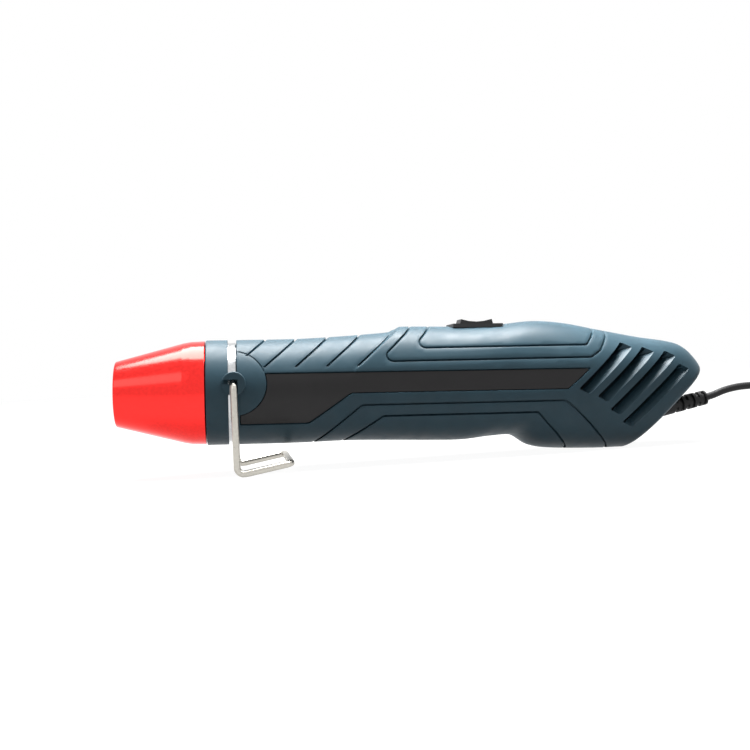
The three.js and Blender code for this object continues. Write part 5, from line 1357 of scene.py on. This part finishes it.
def makePlug():
    start = coilMiddle + 3 + lead["gap"] + plugLook["toNeck"] + lead["gap"]
    sides = plugLook["sides"]
    neckEnd = start + plugLook["neck"]
    face = neckEnd + plugLook["body"]
    half, thin = plugLook["width"] / 2, plugLook["thick"] / 2
    along = np.concatenate([[start, start + 0.3], np.arange(start + 0.8, face - 0.8, 0.5),
                            [face - 0.8, face - 0.35, face - 0.1, face]])
    wide = np.interp(along, [start, start + 0.3, neckEnd - 1, neckEnd + 2, neckEnd + 6,
                             neckEnd + 11, neckEnd + 14, neckEnd + 17, face],
                     [2.2, 2.6, 4.6, 5.6, 9.2, 15.2, 17.2, half - 0.1, half])
    wide = softened(wide)
    high = np.interp(along, [start, start + 0.3, neckEnd - 1, neckEnd + 6, neckEnd + 12, face],
                     [2.2, 2.6, 4.6, 5.8, thin - 0.1, thin])
    high = softened(high)
    ends = np.interp(along, [face - 0.8, face - 0.35, face - 0.1, face], [0, 0.12, 0.4, 0.8])
    wide, high = wide - ends, high - ends
    power = np.interp(along, [start, neckEnd, neckEnd + 10, face], [2, 2.1, 4.2, 5])
    rib = (along > start + 2) & (along < neckEnd - 2)
    turns = (along - start - 2) / plugLook["wavePitch"]
    wave = np.where(rib, plugLook["wave"] * (0.5 - 0.5 * np.cos(turns * 2 * math.pi)), 0)
    wide, high = wide - wave, high - wave
    a = fullTurn(sides)
    c, s = np.cos(a)[None], np.sin(a)[None]
    p = power[:, None]
    reach = (np.abs(c) ** p + np.abs(s) ** p) ** (-1 / p)
    y = lead["plugMiddle"] + wide[:, None] * reach * c
    z = lead["plugAxis"] + high[:, None] * reach * s
    x = np.broadcast_to(along[:, None], y.shape)
    points = np.stack([x, y, z], -1).reshape(-1, 3)
    middle = [(x, lead["plugMiddle"], lead["plugAxis"]) for x in (start, face)]
    points, faces = capped(points, len(along), sides, middle)
    return addPiece("plug_shell", points * mm, faces, finish["plug"],
                    slot="plug_black", replaces=("plug_body",), sharp=40)


plug = makePlug()


tieLook = {
    "y": (11.6, 24.2), "z": (0.05, 15.75), "strap": 0.8, "corner": 2.2, "half": 2, "edge": 0.2,
}


def makeTie():
    # a flat strap round the bundle: its outline in the y-z plane is a rectangle with round
    # corners, thickened inwards
    (y0, y1), (z0, z1), t, e = (tieLook[key] for key in ("y", "z", "strap", "edge"))
    outer = arcs([(y0, z0), (y1, z0), (y1, z1), (y0, z1)], tieLook["corner"], 8)
    inner = offsetLine(counterClockwise(outer), t, closed=True)
    outer = counterClockwise(outer)
    x0, x1 = coilMiddle - tieLook["half"], coilMiddle + tieLook["half"]
    low, high = offsetLine(outer, e, True), offsetLine(outer, t - e, True)
    loops = [(x0 + e, outer), (x0, low), (x0, high), (x0 + e, inner),
             (x1 - e, inner), (x1, high), (x1, low), (x1 - e, outer)]
    points = np.concatenate([np.concatenate([np.full((len(r), 1), x), r], 1) for x, r in loops])
    faces = [gridFaces(len(loops), len(outer), True, True)]
    return addPiece("bundle_tie", points * mm, faces, finish["plug"], slot="plug_black",
                    replaces=("cord_tie",), sharp=40)


tie = makeTie()
for name in ("plug_pin_1", "plug_pin_2"):
    nodes[name].data.materials[0] = finish["nickel"]
print("lead, tie and plug made")

# Inner pieces keep their solids and take their finishes
innerFinish = {
    "heaterSteel": ["heater_barrel"], "heatingWire": ["heating_coil"], "fuse": ["thermal_fuse"],
    "mica": ["mica_tube", "mica_board_upright", "mica_board_flat"],
    "ceramic": ["heater_end_plate"], "motorSteel": ["motor_rotor", "motor_can"],
    "black": ["fan_impeller", "motor_bracket", "motor_end_cap", "wire_motor_minus", "switch_body",
              "rocker_button", *[f"diode_{i}" for i in range(1, 5)]],
    "steel": ["motor_shaft", "motor_screw_1", "motor_screw_2", "clamp_screw_1", "clamp_screw_2",
              *[f"housing_screw_{i}" for i in range(1, 6)]],
    "board": ["circuit_board"], "blueSleeve": ["filter_capacitor"], "amber": ["cord_clamp"],
    "brownWire": ["wire_live", "wire_heater_right"], "blueWire": ["wire_neutral"],
    "greyWire": ["wire_heater_left"], "redWire": ["wire_motor_plus"], "rubber": ["inner_cord"],
}
for key, names in innerFinish.items():
    for name in names:
        nodes[name].data.materials[0] = finish[key]
print("inner pieces finished")
